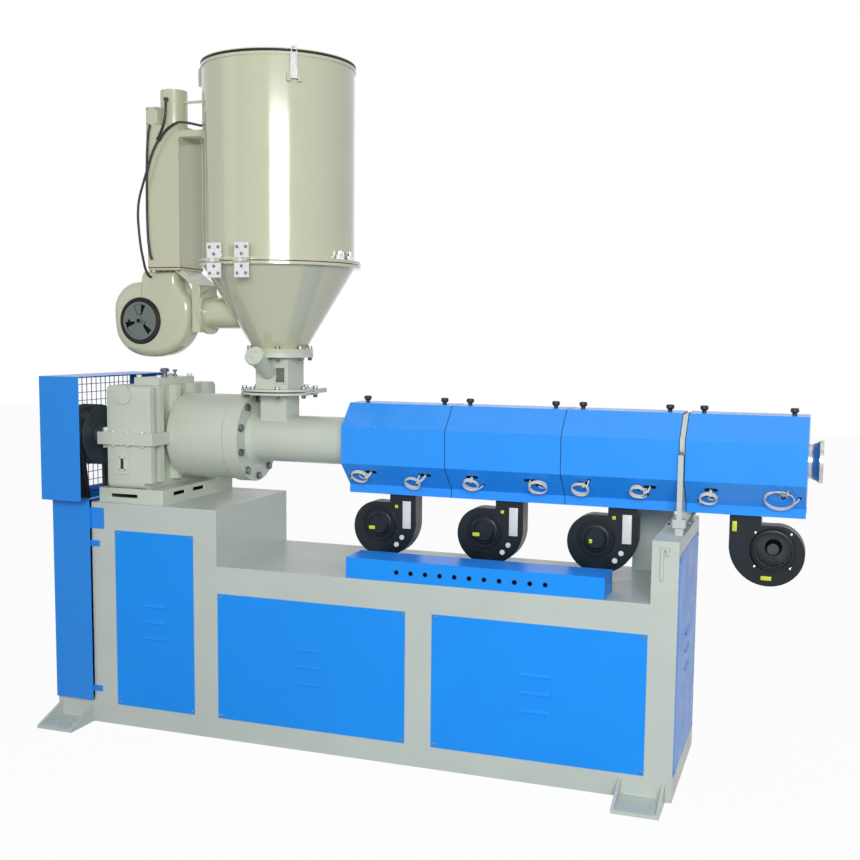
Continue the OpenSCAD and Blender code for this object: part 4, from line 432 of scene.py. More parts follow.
def add_turned(bm, place, axis, profile, steps, closed=True):
    """Solid of revolution: profile points are radius and distance along the axis."""
    made = [bm.verts.new((radius, 0, along)) for radius, along in profile]
    edges = [bm.edges.new(pair) for pair in zip(made, made[1:])]
    if closed and profile[0] != profile[-1]:
        edges.append(bm.edges.new((made[-1], made[0])))
    spun = bmesh.ops.spin(bm, geom=made + edges, cent=(0, 0, 0), axis=Z_AXIS, dvec=(0, 0, 0),
                          angle=2 * math.pi, steps=steps, use_merge=True)
    last = [item for item in spun["geom_last"] if isinstance(item, bmesh.types.BMVert)]
    verts = dict.fromkeys(made + last)
    reached = list(verts)
    while reached:
        vert = reached.pop()
        for edge in vert.link_edges:
            other = edge.other_vert(vert)
            if other not in verts:
                verts[other] = None
                reached.append(other)
    bmesh.ops.remove_doubles(bm, verts=list(verts), dist=0.001)
    alive = [vert for vert in verts if vert.is_valid]
    bmesh.ops.transform(bm, matrix=Matrix.Translation(place) @ turn_to(axis), verts=alive)


def add_hex(bm, place, axis, flats, height):
    """Hexagon head with a chamfered crown on a washer."""
    washer = 0.12 * height
    washer_r = 0.62 * flats
    corner_r = flats / math.sqrt(3)
    add_turned(bm, place, axis, [(0, 0), (washer_r, 0), (washer_r, washer), (0, washer)], 20, False)
    made = bmesh.ops.create_cone(bm, cap_ends=True, segments=6, radius1=corner_r, radius2=corner_r,
                                 depth=height)["verts"]
    crown = [edge for edge in edges_at(made) if all(vert.co.z > 0 for vert in edge.verts)]
    bmesh.ops.translate(bm, vec=(0, 0, height / 2 + washer), verts=made)
    bmesh.ops.transform(bm, matrix=Matrix.Translation(place) @ turn_to(axis), verts=made)
    bmesh.ops.bevel(bm, geom=crown, offset=0.1 * flats, segments=2, profile=0.5, affect="EDGES", material=-1)


def add_cap_screw(bm, place, axis, size):
    """Round screw head with a domed crown."""
    add_turned(bm, place, axis, [
        (0, 0), (size / 2, 0), (size / 2, 0.16 * size), (0.42 * size, 0.3 * size), (0.2 * size, 0.38 * size),
        (0, 0.4 * size)], 16, False)


def add_frame(bm, centre, half_x, half_z, rim, depths):
    """Four bars round a window in X and Z, between two depths in Y from its centre."""
    near, far = depths
    for side in (-1, 1):
        x, z = side * (half_x - rim / 2), side * (half_z - rim / 2)
        add_block(bm, centre + Vector((x - rim / 2, near, -half_z)),
                  centre + Vector((x + rim / 2, far, half_z)), 1)
        add_block(bm, centre + Vector((-half_x, near, z - rim / 2)),
                  centre + Vector((half_x, far, z + rim / 2)), 1)


def add_plate(bm, outline, place, across, up, thickness):
    """Flat plate from an outline of two coordinates, raised along across x up."""
    across, up = Vector(across), Vector(up)
    normal = across.cross(up)
    base = [bm.verts.new(Vector(place) + across * u + up * v) for u, v in outline]
    face = bm.faces.new(base)
    raised = bmesh.ops.extrude_face_region(bm, geom=[face])["geom"]
    verts = [item for item in raised if isinstance(item, bmesh.types.BMVert)]
    bmesh.ops.translate(bm, vec=normal * thickness, verts=verts)


def add_pipe(bm, points, radius, sides):
    """Round bar along a few points, closed at its ends."""
    path = [Vector(point) for point in points]
    rings = []
    for index, point in enumerate(path):
        ahead = path[min(index + 1, len(path) - 1)] - path[max(index - 1, 0)]
        ring = bmesh.ops.create_circle(bm, segments=sides, radius=radius, cap_ends=False)["verts"]
        bmesh.ops.transform(bm, matrix=Matrix.Translation(point) @ turn_to(ahead.normalized()), verts=ring)
        rings.append(ring)
    for first, second in zip(rings, rings[1:]):
        edges = [edge for ring in (first, second) for edge in edges_at(ring)
                 if edge.verts[0] in ring and edge.verts[1] in ring]
        bmesh.ops.bridge_loops(bm, edges=edges)
    for ring in (rings[0], rings[-1]):
        bm.faces.new(ring)


def shade(bm, sharp_angle):
    """Smooth faces with sharp edges above an angle in degrees."""
    for face in bm.faces:
        face.smooth = True
    for edge in bm.edges:
        edge.smooth = len(edge.link_faces) == 2 and edge.calc_face_angle(0) < math.radians(sharp_angle)


def make_piece(bm, name, finish, body, bevel=0.0, sharp_angle=32, unit=MM, recalculate=True):
    """Object at the origin from a bmesh in millimetres, riding on its body."""
    bmesh.ops.scale(bm, vec=(unit, unit, unit), verts=bm.verts)
    bmesh.ops.remove_doubles(bm, verts=bm.verts, dist=1e-6)
    if recalculate:
        bmesh.ops.recalc_face_normals(bm, faces=bm.faces)
    shade(bm, sharp_angle)
    mesh = bpy.data.meshes.new(name)
    bm.to_mesh(mesh)
    bm.free()
    piece = bpy.data.objects.new(name, mesh)
    bpy.context.scene.collection.objects.link(piece)
    mesh.materials.append(bpy.data.materials[finish])
    if bevel:
        round_edges(piece, bevel * MM, sharp_angle)
    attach(piece, body)
    return piece


def round_edges(piece, width, angle):
    """Rounded edges that catch the light, with the flat faces left flat."""
    bevel = piece.modifiers.new("Rounded edges", "BEVEL")
    bevel.width = width
    bevel.segments = 2
    bevel.limit_method = "ANGLE"
    bevel.angle_limit = math.radians(angle)
    bevel.use_clamp_overlap = True
    bevel.harden_normals = False
    weighted = piece.modifiers.new("Flat faces", "WEIGHTED_NORMAL")
    weighted.keep_sharp = True
    weighted.weight = 80


def dress_node(node, width):
    """Merged copy of a CAD node with rounded edges, which it stands for."""
    bm = bmesh.new()
    bm.from_mesh(frame["nodes"][node].data)
    bmesh.ops.remove_doubles(bm, verts=bm.verts, dist=0.02 * MM)
    bmesh.ops.dissolve_limit(bm, angle_limit=math.radians(0.6), verts=bm.verts, edges=bm.edges)
    slot = slot_of_node(node)
    piece = make_piece(bm, node + "_dressed", slot, body_of_node(node), width, unit=1.0,
                       recalculate=False)
    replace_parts(piece, node)


# Stage, lamps and camera
class EXTRUDER_OT_stage(bpy.types.Operator):
    """Make the floor, the world, the lamps and the camera"""

    bl_idname = "extruder.stage"
    bl_label = "Stage and camera"

    def execute(self, context):
        scene = context.scene
        look = scene.extruder_stage
        scene.view_settings.view_transform = "Standard"
        make_camera(scene)
        make_world(scene)
        make_floor(look)
        middle = Vector((0.25, 0, 1.15))
        make_lamp("key_lamp", look.key_power, 2.3, (1.95, -4.5, 2.4), middle, 1.3)
        make_lamp("fill_lamp", look.fill_power, 2.6, (-5.0, -4.0, 2.6), middle)
        make_lamp("top_lamp", look.top_power, 3.6, (0.6, 0.6, 5.6), middle)
        return {"FINISHED"}


# The photograph's camera: place, aim, focal length in pixels and image centre of an 860 pixel frame
IMAGE_SIZE = 860
FOCAL_PIXELS = 1137.77
CENTRE_X_PIXELS = 426.24
CENTRE_Y_PIXELS = 449.31
CAMERA_PLACE = (1.5299, -3.7054, 1.4346)
CAMERA_YAW = 0.3388
CAMERA_PITCH = 0.1023
CAMERA_ROLL = 0.0095


def make_camera(scene):
    """Camera with the photograph's place, aim, lens and shift."""
    aim = Vector((-math.sin(CAMERA_YAW) * math.cos(CAMERA_PITCH),
                  math.cos(CAMERA_YAW) * math.cos(CAMERA_PITCH), -math.sin(CAMERA_PITCH)))
    right = aim.cross(Z_AXIS).normalized()
    up = right.cross(aim)
    rolled_right = right * math.cos(CAMERA_ROLL) + up * math.sin(CAMERA_ROLL)
    rolled_up = up * math.cos(CAMERA_ROLL) - right * math.sin(CAMERA_ROLL)
    turned = Matrix((rolled_right, rolled_up, -aim)).transposed().to_4x4()
    data = bpy.data.cameras.new("camera")
    data.sensor_width = 36
    data.lens = data.sensor_width * FOCAL_PIXELS / IMAGE_SIZE
    data.shift_x = (IMAGE_SIZE / 2 - CENTRE_X_PIXELS) / IMAGE_SIZE
    data.shift_y = (CENTRE_Y_PIXELS - IMAGE_SIZE / 2) / IMAGE_SIZE
    camera = bpy.data.objects.new("camera", data)
    camera.matrix_world = Matrix.Translation(CAMERA_PLACE) @ turned
    scene.collection.objects.link(camera)
    scene.camera = camera


def seen_ray(tree):
    """Mask of rays that show the background: camera, glossy and glass rays."""
    path = tree.nodes.new("ShaderNodeLightPath")
    glossy = math_node(tree, "MAXIMUM", path.outputs["Is Camera Ray"], path.outputs["Is Glossy Ray"])
    return math_node(tree, "MAXIMUM", glossy, path.outputs["Is Transmission Ray"])


def make_world(scene):
    """Pale world that is white where it is seen and plainer as light."""
    world = bpy.data.worlds.new("studio")
    world.use_nodes = True
    tree = world.node_tree
    background = tree.nodes["Background"]
    background.inputs["Color"].default_value = (1, 1, 1, 1)
    strength = ramp_node(tree, seen_ray(tree), 0.0, 1.0, 0.36, 1.0)
    tree.links.new(strength, background.inputs["Strength"])
    scene.world = world


def make_floor(look):
    """Plain pale floor that keeps a soft shadow."""
    bm = bmesh.new()
    bmesh.ops.create_grid(bm, x_segments=1, y_segments=1, size=14)
    mesh = bpy.data.meshes.new("floor")
    bm.to_mesh(mesh)
    bm.free()
    floor = bpy.data.objects.new("floor", mesh)
    material, tree, shader = new_material("floor_pale")
    seen = seen_ray(tree)
    bounce = tuple(0.45 * value for value in look.floor_colour)
    tree.links.new(mix_colour(tree, seen, (*bounce, 1), (*look.floor_colour, 1)), shader.inputs["Base Color"])
    shader.inputs["Roughness"].default_value = 0.9
    shader.inputs["Specular IOR Level"].default_value = 0.1
    glow = tree.nodes.new("ShaderNodeEmission")
    glow.inputs["Strength"].default_value = 1.0
    mixed = tree.nodes.new("ShaderNodeMixShader")
    tree.links.new(ramp_node(tree, seen, 0.0, 1.0, 0.0, 0.95), mixed.inputs["Fac"])
    tree.links.new(shader.outputs["BSDF"], mixed.inputs[1])
    tree.links.new(glow.outputs["Emission"], mixed.inputs[2])
    tree.links.new(mixed.outputs["Shader"], tree.nodes["Material Output"].inputs["Surface"])
    mesh.materials.append(material)
    bpy.context.scene.collection.objects.link(floor)


def make_lamp(name, power, size, place, target, tall=0.0):
    """Soft rectangular lamp aimed at a point."""
    data = bpy.data.lights.new(name, "AREA")
    data.energy = power
    data.shape = "RECTANGLE"
    data.size = size
    data.size_y = tall or size
    lamp = bpy.data.objects.new(name, data)
    lamp.location = place
    lamp.rotation_euler = (target - Vector(place)).to_track_quat("-Z", "Y").to_euler()
    bpy.context.scene.collection.objects.link(lamp)


# Cords: heater leads coiled on the covers' lower slopes, and the dryer's cables
COVER_STARTS = (-36 * MM, 339 * MM, 731 * MM, 1122 * MM)
COVER_LENGTHS = (375 * MM, 392 * MM, 372 * MM, 361 * MM)
COVER_HALF = 142 * MM
COVER_SIDE = 63 * MM
COVER_LIP = 30 * MM
# Each coil: cover, share of its length, place up the slope in mm, radius in mm, turns and lean in degrees
COILS = (
    (0, 0.16, 6, 29, 3, 0), (0, 0.66, -14, 27, 3, 200), (1, 0.21, -4, 25, 3, 130), (1, 0.8, 0, 30, 3, 40),
    (2, 0.16, 4, 28, 3, 200), (2, 0.66, 8, 24, 3, 100), (3, 0.2, -10, 27, 3, 20), (3, 0.78, 0, 44, 2, 160),
)
# Each lead's slot: share of its cover's length and place up the slope in mm
LEAD_SLOTS = (
    (0.27, 17), (0.795, 15), (0.225, 18), (0.73, 17), (0.185, 18), (0.76, 16), (0.22, 18), (0.82, 19),
)
LEAD_D = 4
COIL_STAND = 7
COIL_PITCH = 5
COIL_TAIL = 13
# How far a lead has risen at its first steps out of the hole
LEAD_RISE = (0.3, 0.65, 0.88, 0.97)
STEPS_PER_TURN = 24
CABLE_D = 9 * MM
# Dryer cables' points in mm, from the frame's left end
CABLE_ROUTES = (
    ((197, -51.4, 2262), (202, -60, 2262), (214, -80, 2258), (222, -98, 2235), (222, -100, 2200),
     (212, -98, 2165), (196, -95, 2135), (186, -91.5, 2121), (184.5, -85.2, 2118)),
    ((359.5, -60, 2160), (340, -62, 2161), (304, -84, 2168), (270, -100, 2168), (230, -104, 2146),
     (196, -104, 2112), (168, -104, 2066), (148, -104, 2014), (128, -104, 1960), (110, -104, 1904),
     (104, -104, 1850), (106, -102, 1790), (112, -100, 1730), (118, -96, 1690), (120, -88, 1660),
     (122, -76, 1640), (124, -65, 1630), (124, -55.8, 1628)),
    ((150, -88, 2170), (142, -88, 2140), (136, -88, 2080), (133, -88, 2000), (132, -88, 1920),
     (132, -88, 1840), (135, -88, 1760), (142, -88, 1710), (150, -88, 1690)),
)


def slope_matrix(cover, share, rise, lean):
    """Place on a cover's lower front slope: X along a coil, Y up the slope and Z outward."""
    middle = (COVER_HALF + COVER_SIDE) / 2
    place = Vector((COVER_STARTS[cover] + COVER_LENGTHS[cover] * share, -middle, AXIS_Z - middle))
    return (Matrix.Translation(place) @ Matrix.Rotation(math.radians(135), 4, "X")
            @ Matrix.Translation((0, rise * MM, 0)) @ Matrix.Rotation(math.radians(lean), 4, "Z"))


def coil_points(radius, turns):
    """One coiled lead in mm: out of its hole, by a half circle onto its turns and back into the cover."""
    wound = [(-0.3 * radius, 0, -COIL_STAND), (-0.3 * radius, 0, -0.4 * COIL_STAND)]
    for step in range(1, STEPS_PER_TURN * turns + 1):
        angle = math.pi + step * 2 * math.pi / STEPS_PER_TURN
        height = COIL_STAND + COIL_PITCH * step / STEPS_PER_TURN
        if step <= len(LEAD_RISE):
            height *= LEAD_RISE[step - 1]
        past = step - STEPS_PER_TURN / 2
        middle = 0
        if past < 0:
            middle = 0.35 * radius
            loose = radius - middle
        else:
            loose = radius * (1 + 0.05 * math.sin(0.31 * step) * min(1, past / 6))
        wound.append((middle + loose * math.cos(angle), loose * math.sin(angle), height))
    top = COIL_STAND + COIL_PITCH * turns
    hole_x, hole_y = -radius - COIL_TAIL, -LEAD_D * 4.6
    return wound + [
        (-radius - LEAD_D / 4, -LEAD_D * 1.5, top), (-radius - LEAD_D, -LEAD_D * 3, top - LEAD_D / 2),
        (-radius - COIL_TAIL * 0.7, -LEAD_D * 4.2, top / 2 + COIL_STAND / 2),
        (hole_x, hole_y, COIL_STAND / 2), (hole_x, hole_y, -COIL_STAND)]


def smooth_route(points, pieces):
    """Points of a smooth line through the given ones."""
    route = [Vector(point) for point in points]
    line = []
    for index in range(len(route) - 1):
        before, here = route[max(index - 1, 0)], route[index]
        after, beyond = route[index + 1], route[min(index + 2, len(route) - 1)]
        for part in range(pieces):
            t = part / pieces
            line.append((2 * here + (after - before) * t
                         + (2 * before - 5 * here + 4 * after - beyond) * t * t
                         + (3 * here - before - 3 * after + beyond) * t ** 3) / 2)
    line.append(route[-1])
    return line


def eased_route(points, passes):
    """Smooth line whose corners are eased, with its ends kept."""
    line = smooth_route(points, 2)
    for _ in range(passes):
        eased = [(before + 2 * here + after) / 4 for before, here, after in zip(line, line[1:], line[2:])]
        line = line[:1] + eased + line[-1:]
    return line


def make_cord(name, points, diameter, finish, body):
    """Round cord on one open line."""
    curve = bpy.data.curves.new(name, "CURVE")
    curve.dimensions = "3D"
    curve.bevel_depth = diameter / 2
    curve.bevel_resolution = 3
    curve.use_fill_caps = True
    line = curve.splines.new("POLY")
    line.points.add(len(points) - 1)
    for target, point in zip(line.points, points):
        target.co = (*point, 1)
    line.use_smooth = True
    cord = bpy.data.objects.new(name, curve)
    bpy.context.scene.collection.objects.link(cord)
    curve.materials.append(bpy.data.materials[finish])
    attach(cord, body)
    return cord


class EXTRUDER_OT_cords(bpy.types.Operator):
    """Wind the heater leads and lay the dryer's cables"""

    bl_idname = "extruder.cords"
    bl_label = "Leads and cables"

    def execute(self, context):
        thick = context.scene.extruder_sizes.lead_thickness
        for number, (cover, share, rise, radius, turns, lean) in enumerate(COILS, 1):
            place = slope_matrix(cover, share, rise, lean)
            points = [place @ (point * MM) for point in eased_route(coil_points(radius, turns), 7)]
            lead = make_cord(f"heater_lead_{number}", points, thick, "lead_white", "machine")
            along, up = LEAD_SLOTS[number - 1]
            to_slot = Vector(((along - share) * COVER_LENGTHS[cover] / MM, up - rise, 0))
            toward = math.atan2(to_slot.y, to_slot.x) - math.radians(lean)
            tie = make_tie(f"heater_lead_tie_{number}", place, radius, turns, toward)
            sleeve = make_sleeve(f"heater_lead_sleeve_{number}", slope_matrix(cover, share, rise, 0),
                                 to_slot, radius, COIL_STAND + COIL_PITCH * turns)
            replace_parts(lead, "heater_leads")
        left = Vector((FRAME_LEFT, 0, 0))
        for number, route in enumerate(CABLE_ROUTES, 1):
            points = [left + point * MM for point in smooth_route(route, 4)]
            cable = make_cord(f"dryer_cable_{number}", points, CABLE_D, "cable_black",
                              "hopper")
            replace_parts(cable, "dryer_cables")
        return {"FINISHED"}


def make_sleeve(name, place, to_slot, radius, top):
    """Two glass-fibre sleeves from a lead's slot to its coil, side by side."""
    bm = bmesh.new()
    ring = to_slot.normalized() * radius
    across = Vector((-to_slot.y, to_slot.x, 0)).normalized() * 0.6 * LEAD_D
    for side in (-1, 1):
        start = to_slot + across * side
        path = [start - Z_AXIS * 1.5, start + Z_AXIS * 4,
                start.lerp(ring + across * side, 0.35) + Z_AXIS * 0.8 * top,
                ring + across * side * 0.9 + Z_AXIS * (top + 1.5),
                ring * 0.86 + across * side * 0.8 + Z_AXIS * top]
        add_pipe(bm, smooth_route(path, 4), 0.45 * LEAD_D, 10)
    bmesh.ops.transform(bm, matrix=place @ Matrix.Scale(MM, 4), verts=bm.verts)
    return make_piece(bm, name, "lead_white", "machine", unit=1.0)


def make_tie(name, place, radius, turns, toward):
    """White tie wound round the coil's turns, on the side of its slot."""
    bm = bmesh.new()
    height = COIL_PITCH * turns
    corner = 0.5 * LEAD_D
    reach_x = 0.75 * LEAD_D - corner
    reach_z = height / 2 + 0.7 * LEAD_D - corner
    outline = []
    for side_x, side_z, first in ((1, 1, 0), (-1, 1, 90), (-1, -1, 180), (1, -1, 270)):
        for step in range(4):
            x, z = on_circle(corner, first + 30 * step)
            outline.append((radius + side_x * reach_x + x, 0,
                            COIL_STAND + height / 2 + side_z * reach_z + z))
    add_pipe(bm, outline + outline[:2], 0.9, 8)
    bmesh.ops.rotate(bm, cent=(0, 0, 0), matrix=Matrix.Rotation(toward, 3, "Z"), verts=bm.verts)
    bmesh.ops.transform(bm, matrix=place @ Matrix.Scale(MM, 4), verts=bm.verts)
    return make_piece(bm, name, "lead_white", "machine", unit=1.0)


# CAD nodes that get a copy with rounded edges: node and edge width in mm
ROUNDED_NODES = {
    "base_frame": 3, "tower_panel": 0.7, "bench_panels": 0.7, "rear_panels": 0.7, "end_panel": 0.7,
    "panel_screws": 0.6, "belt_guard": 0.8, "belt_duct": 0.8, "drive_motor": 2, "input_pulley": 1.2,
    "motor_pulley": 1, "gearbox_riser": 3, "gearbox_lower": 4, "gearbox_upper": 4, "gearbox_cover": 2.5,
    "thrust_housing": 3, "flange_bolts": 1.2, "feed_throat": 2, "barrel": 1, "heater_bands": 1,
    "cover_1": 0.9, "cover_2": 0.9, "cover_3": 0.9, "cover_4": 0.9, "cover_pans": 0.8, "cover_knobs": 1.2,
    "wiring_tray": 0.9, "support_lower": 1.6, "support_upper": 1.6, "slide_gate": 0.8, "hopper_base": 1.6,
    "hopper_cone": 1.2, "tilt_hinge": 0.8, "ring_clamps": 1, "hopper_body": 1, "hopper_lid": 1,
    "lid_gasket": 1.6, "lid_latch": 1, "heater_box": 2.2, "box_gasket": 0.5, "hot_air_duct": 3,
    "inlet_shutter": 0.5, "blower_1": 1.6, "blower_2": 1.6, "blower_3": 1.6, "blower_4": 1.6,
}


class EXTRUDER_OT_castings(bpy.types.Operator):
    """Give every node its finish and round the edges of the ones that show"""

    bl_idname = "extruder.castings"
    bl_label = "Frame, castings and sheet metal"

    def execute(self, context):
        for node, item in frame["nodes"].items():
            item.data.materials.clear()
            item.data.materials.append(bpy.data.materials[slot_of_node(node)])
        for node, width in ROUNDED_NODES.items():
            dress_node(node, width)
        return {"FINISHED"}


# Places in millimetres, in the model's frame
BARREL_Z = 1048
FRAME_FRONT = -272.5
BOX_LEFT = -900
BOX_HALF = 252
COVER_TOP = 1262
HOPPER_X = -339
HOPPER_R = 267
HOPPER_TOP = 2350
HINGE_Z = 1669.5
HINGE_FRONT = -303
HINGE_MIDDLES = (HOPPER_X - 92, HOPPER_X + 12)
LATCH_TURN = -53
SEAM_TURN = 70
GATE_FLANGE_TOP = 1229.6
GATE_FLANGE_LOW = 1209
CONE_FLANGE_TOP = 1372
CONE_FLANGE_LOW = 1342
BASE_FRONT = -64
BASE_TALL = 136.4
DRAIN_TILT = 28
FAN_X = -884
FAN_Z = 1468
FAN_HALF = 55
HEATER_FLANGE_LOW = 1651
TERMINAL_FRONT = -83
BLOWER_CENTRES = (65.5, 449, 831, 1388.5)
BLOWER_Z = 766
BLOWER_FACE = -34
FOOT_X = 1038
FOOT_TOP = 12
GUSSET_X = 62.5
RISER_X = (-940, -676)
RISER_HALF = 252
RISER_FOOT = 815
SUPPORT_X = 1112


class EXTRUDER_OT_gearbox(bpy.types.Operator):
    """Put the bolts, breather, dipstick and sight glass frame on the gearbox"""

    bl_idname = "extruder.gearbox"
    bl_label = "Gearbox fittings"

    def execute(self, context):
        flats = context.scene.extruder_sizes.seam_bolt / MM
        bolts = bmesh.new()
        margin = 16
        seam = 22
        for y in (-236, -96, 30, 150, 236):
            for up in (1, -1):
                add_hex(bolts, (BOX_LEFT - margin, y, BARREL_Z + up * seam), (0, 0, up), flats, 0.6 * flats)
        for x in (BOX_LEFT + 30, BOX_LEFT + 90, BOX_LEFT + 150):
            for side in (-1, 1):
                for up in (1, -1):
                    place = (x, side * (BOX_HALF + margin / 2), BARREL_Z + up * seam)
                    add_hex(bolts, place, (0, 0, up), 0.5 * flats, 0.3 * flats)
        for x in (-841, -757.6):
            for y in (-136, 75.6):
                add_hex(bolts, (x, y, COVER_TOP), UPWARD, 0.75 * flats, 0.4 * flats)
        make_piece(bolts, "gearbox_bolts", "gearbox_paint", "machine")
        self.sight_frame()
        self.breather()
        return {"FINISHED"}

    def sight_frame(self):
        """Pale bezel round the oil sight glass, with a screw above and below."""
        frame_low, frame_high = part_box("oil_sight_glass")
        centre = (frame_low + frame_high) / 2 / MM
        centre.y = frame_low.y / MM
        bm = bmesh.new()
        add_frame(bm, centre, 12, 24, 5, (-2.5, 3))
        for side in (-1, 1):
            add_cap_screw(bm, centre + Vector((0, 2, side * 31)), FRONTWARD, 7)
        make_piece(bm, "sight_glass_frame", "blank_label", "machine")

    def breather(self):
        """Mushroom breather and dipstick knob on the inspection cover."""
        bm = bmesh.new()
        add_turned(bm, (-800, -30, COVER_TOP), UPWARD, [
            (0, 0), (11, 0), (11, 8), (7, 10), (7, 16), (17, 19), (18, 25), (14, 31), (0, 33)], 28, False)
        add_turned(bm, (-800, 40, COVER_TOP), UPWARD, [
            (0, 0), (9, 0), (9, 6), (4, 8), (4, 16), (9, 19), (9, 24), (0, 26)], 24, False)
        make_piece(bm, "gearbox_breather", "screw_steel", "machine")


class EXTRUDER_OT_feed(bpy.types.Operator):
    """Put the flange bolts, window pane and drain cap on the hopper's foot"""

    bl_idname = "extruder.feed"
    bl_label = "Feed and gate fittings"

    def execute(self, context):
        flats = context.scene.extruder_sizes.flange_bolt / MM
        bolts = bmesh.new()
        for step in range(8):
            for radius, top, low in ((127, GATE_FLANGE_TOP, GATE_FLANGE_LOW),
                                     (108, CONE_FLANGE_TOP, CONE_FLANGE_LOW)):
                x, y = on_circle(radius, 22.5 + 45 * step)
                add_hex(bolts, (HOPPER_X + x, y, top), UPWARD, flats, 0.6 * flats)
                add_hex(bolts, (HOPPER_X + x, y, low), DOWNWARD, flats, 0.7 * flats)
        make_piece(bolts, "flange_bolts_hopper", "screw_steel", "machine")
        self.window()
        self.drain_cap()
        return {"FINISHED"}

    def window(self):
        """Clear pane in the base's window with four screws in its frame."""
        centre = Vector((HOPPER_X + 33.3, BASE_FRONT, 1278.9))
        pane = bmesh.new()
        add_block(pane, centre + Vector((-17, 1, -24.5)), centre + Vector((17, 4, 24.5)), 0.6)
        make_piece(pane, "base_window_pane", "window_pane", "machine")
        bm = bmesh.new()
        add_frame(bm, centre, 23, 31, 6, (-3, 0.5))
        for x in (-20, 20):
            for z in (-28, 28):
                add_cap_screw(bm, centre + Vector((x, -2.5, z)), FRONTWARD, 6)
        make_piece(bm, "base_window_frame", "gearbox_paint", "machine")

    def drain_cap(self):
        """Screwed cap on the drain tube's mouth."""
        tilt = math.radians(DRAIN_TILT)
        out = Vector((0, -math.cos(tilt), math.sin(tilt)))
        start = Vector((HOPPER_X - 12.8, BASE_FRONT, GATE_FLANGE_TOP - 8 + 0.52 * BASE_TALL))
        mouth = start + out * 112
        bm = bmesh.new()
        add_turned(bm, mouth - out * 2, out, [
            (0, 0), (31, 0), (31, 2), (35, 3), (35, 13), (32, 16), (14, 17), (11, 21), (0, 22)], 36, False)
        make_piece(bm, "drain_cap", "gearbox_paint", "machine")


class EXTRUDER_OT_hopper(bpy.types.Operator):
    """Put the hinge screws and facings, the latch's loop and catch and the weld seam on the hopper"""

    bl_idname = "extruder.hopper"
    bl_label = "Hopper fittings"

    def execute(self, context):
        leaf_wide, leaf_tall = 54, 58
        for side, body in ((1, "hopper"), (-1, "machine")):
            bm = bmesh.new()
            for middle in HINGE_MIDDLES:
                for across, up in ((0, 0.35), (-0.3, 0.75), (0.3, 0.75)):
                    place = (middle + across * leaf_wide, HINGE_FRONT, HINGE_Z + side * up * leaf_tall)
                    add_cap_screw(bm, place, FRONTWARD, 11)
            make_piece(bm, f"hinge_screws_{body}", "screw_steel", body)
        facing = bmesh.new()
        for middle in HINGE_MIDDLES:
            add_plate(facing, [(-26.6, -57.6), (26.6, -57.6), (26.6, -9), (-26.6, -9)],
                      (middle, HINGE_FRONT, HINGE_Z), X_AXIS, Z_AXIS, 0.8)
        make_piece(facing, "hinge_facings", "bright_steel", "machine")
        self.latch()
        self.seam()
        return {"FINISHED"}

    def latch(self):
        """Wire loop on the lever, catch on the lid and rivets on the base."""
        out = Vector((*on_circle(1, LATCH_TURN), 0))
        along = Vector((-out.y, out.x, 0))
        rim = Vector((HOPPER_X, 0, HOPPER_TOP)) + out * HOPPER_R
        loop = bmesh.new()
        points = [(-30, 15.5, -9), (0, 14, -9), (12, 13, -9), (17, 12, -5), (18, 11.5, 0), (17, 12, 5),
                  (12, 13, 9), (0, 14, 9), (-30, 15.5, 9)]
        add_pipe(loop, [rim + out * away + along * side + Z_AXIS * up for up, away, side in points], 1.5, 8)
        make_piece(loop, "latch_loop", "bright_steel", "latch")
        catch = bmesh.new()
        outline = [(4, 8.5), (4, 12.5), (16, 12.5), (16, 17), (13, 17), (13, 14.5), (1, 14.5), (1, 8.5)]
        add_plate(catch, outline, rim - along * 5, out, Z_AXIS, -10)
        make_piece(catch, "lid_catch", "bright_steel", "lid", 0.4)
        rivets = bmesh.new()
        for side in (-17, 17):
            add_cap_screw(rivets, rim + out * 13 + along * side - Z_AXIS * 84, out, 6)
        make_piece(rivets, "latch_rivets", "screw_steel", "hopper")

    def seam(self):
        """Ground weld seam down the hopper's back."""
        bm = bmesh.new()
        x, y = on_circle(HOPPER_R, SEAM_TURN)
        place = Vector((HOPPER_X + x, y, 0))
        add_pipe(bm, [place + Z_AXIS * (1690 + 30 * step) for step in range(22)], 1.6, 8)
        make_piece(bm, "hopper_seam", "hopper_paint", "hopper")


# Dryer blower's outline in X and Z from its centre, in mm
FAN_OUTLINE = (
    (10, 184), (10, 146), (-54, 138), (-100, 105), (-122, 58), (-122, -10), (-108, -66), (-62, -112),
    (10, -132), (90, -126), (148, -96), (186, -50), (203, 10), (200, 74), (166, 118), (150, 150), (148, 184),
)


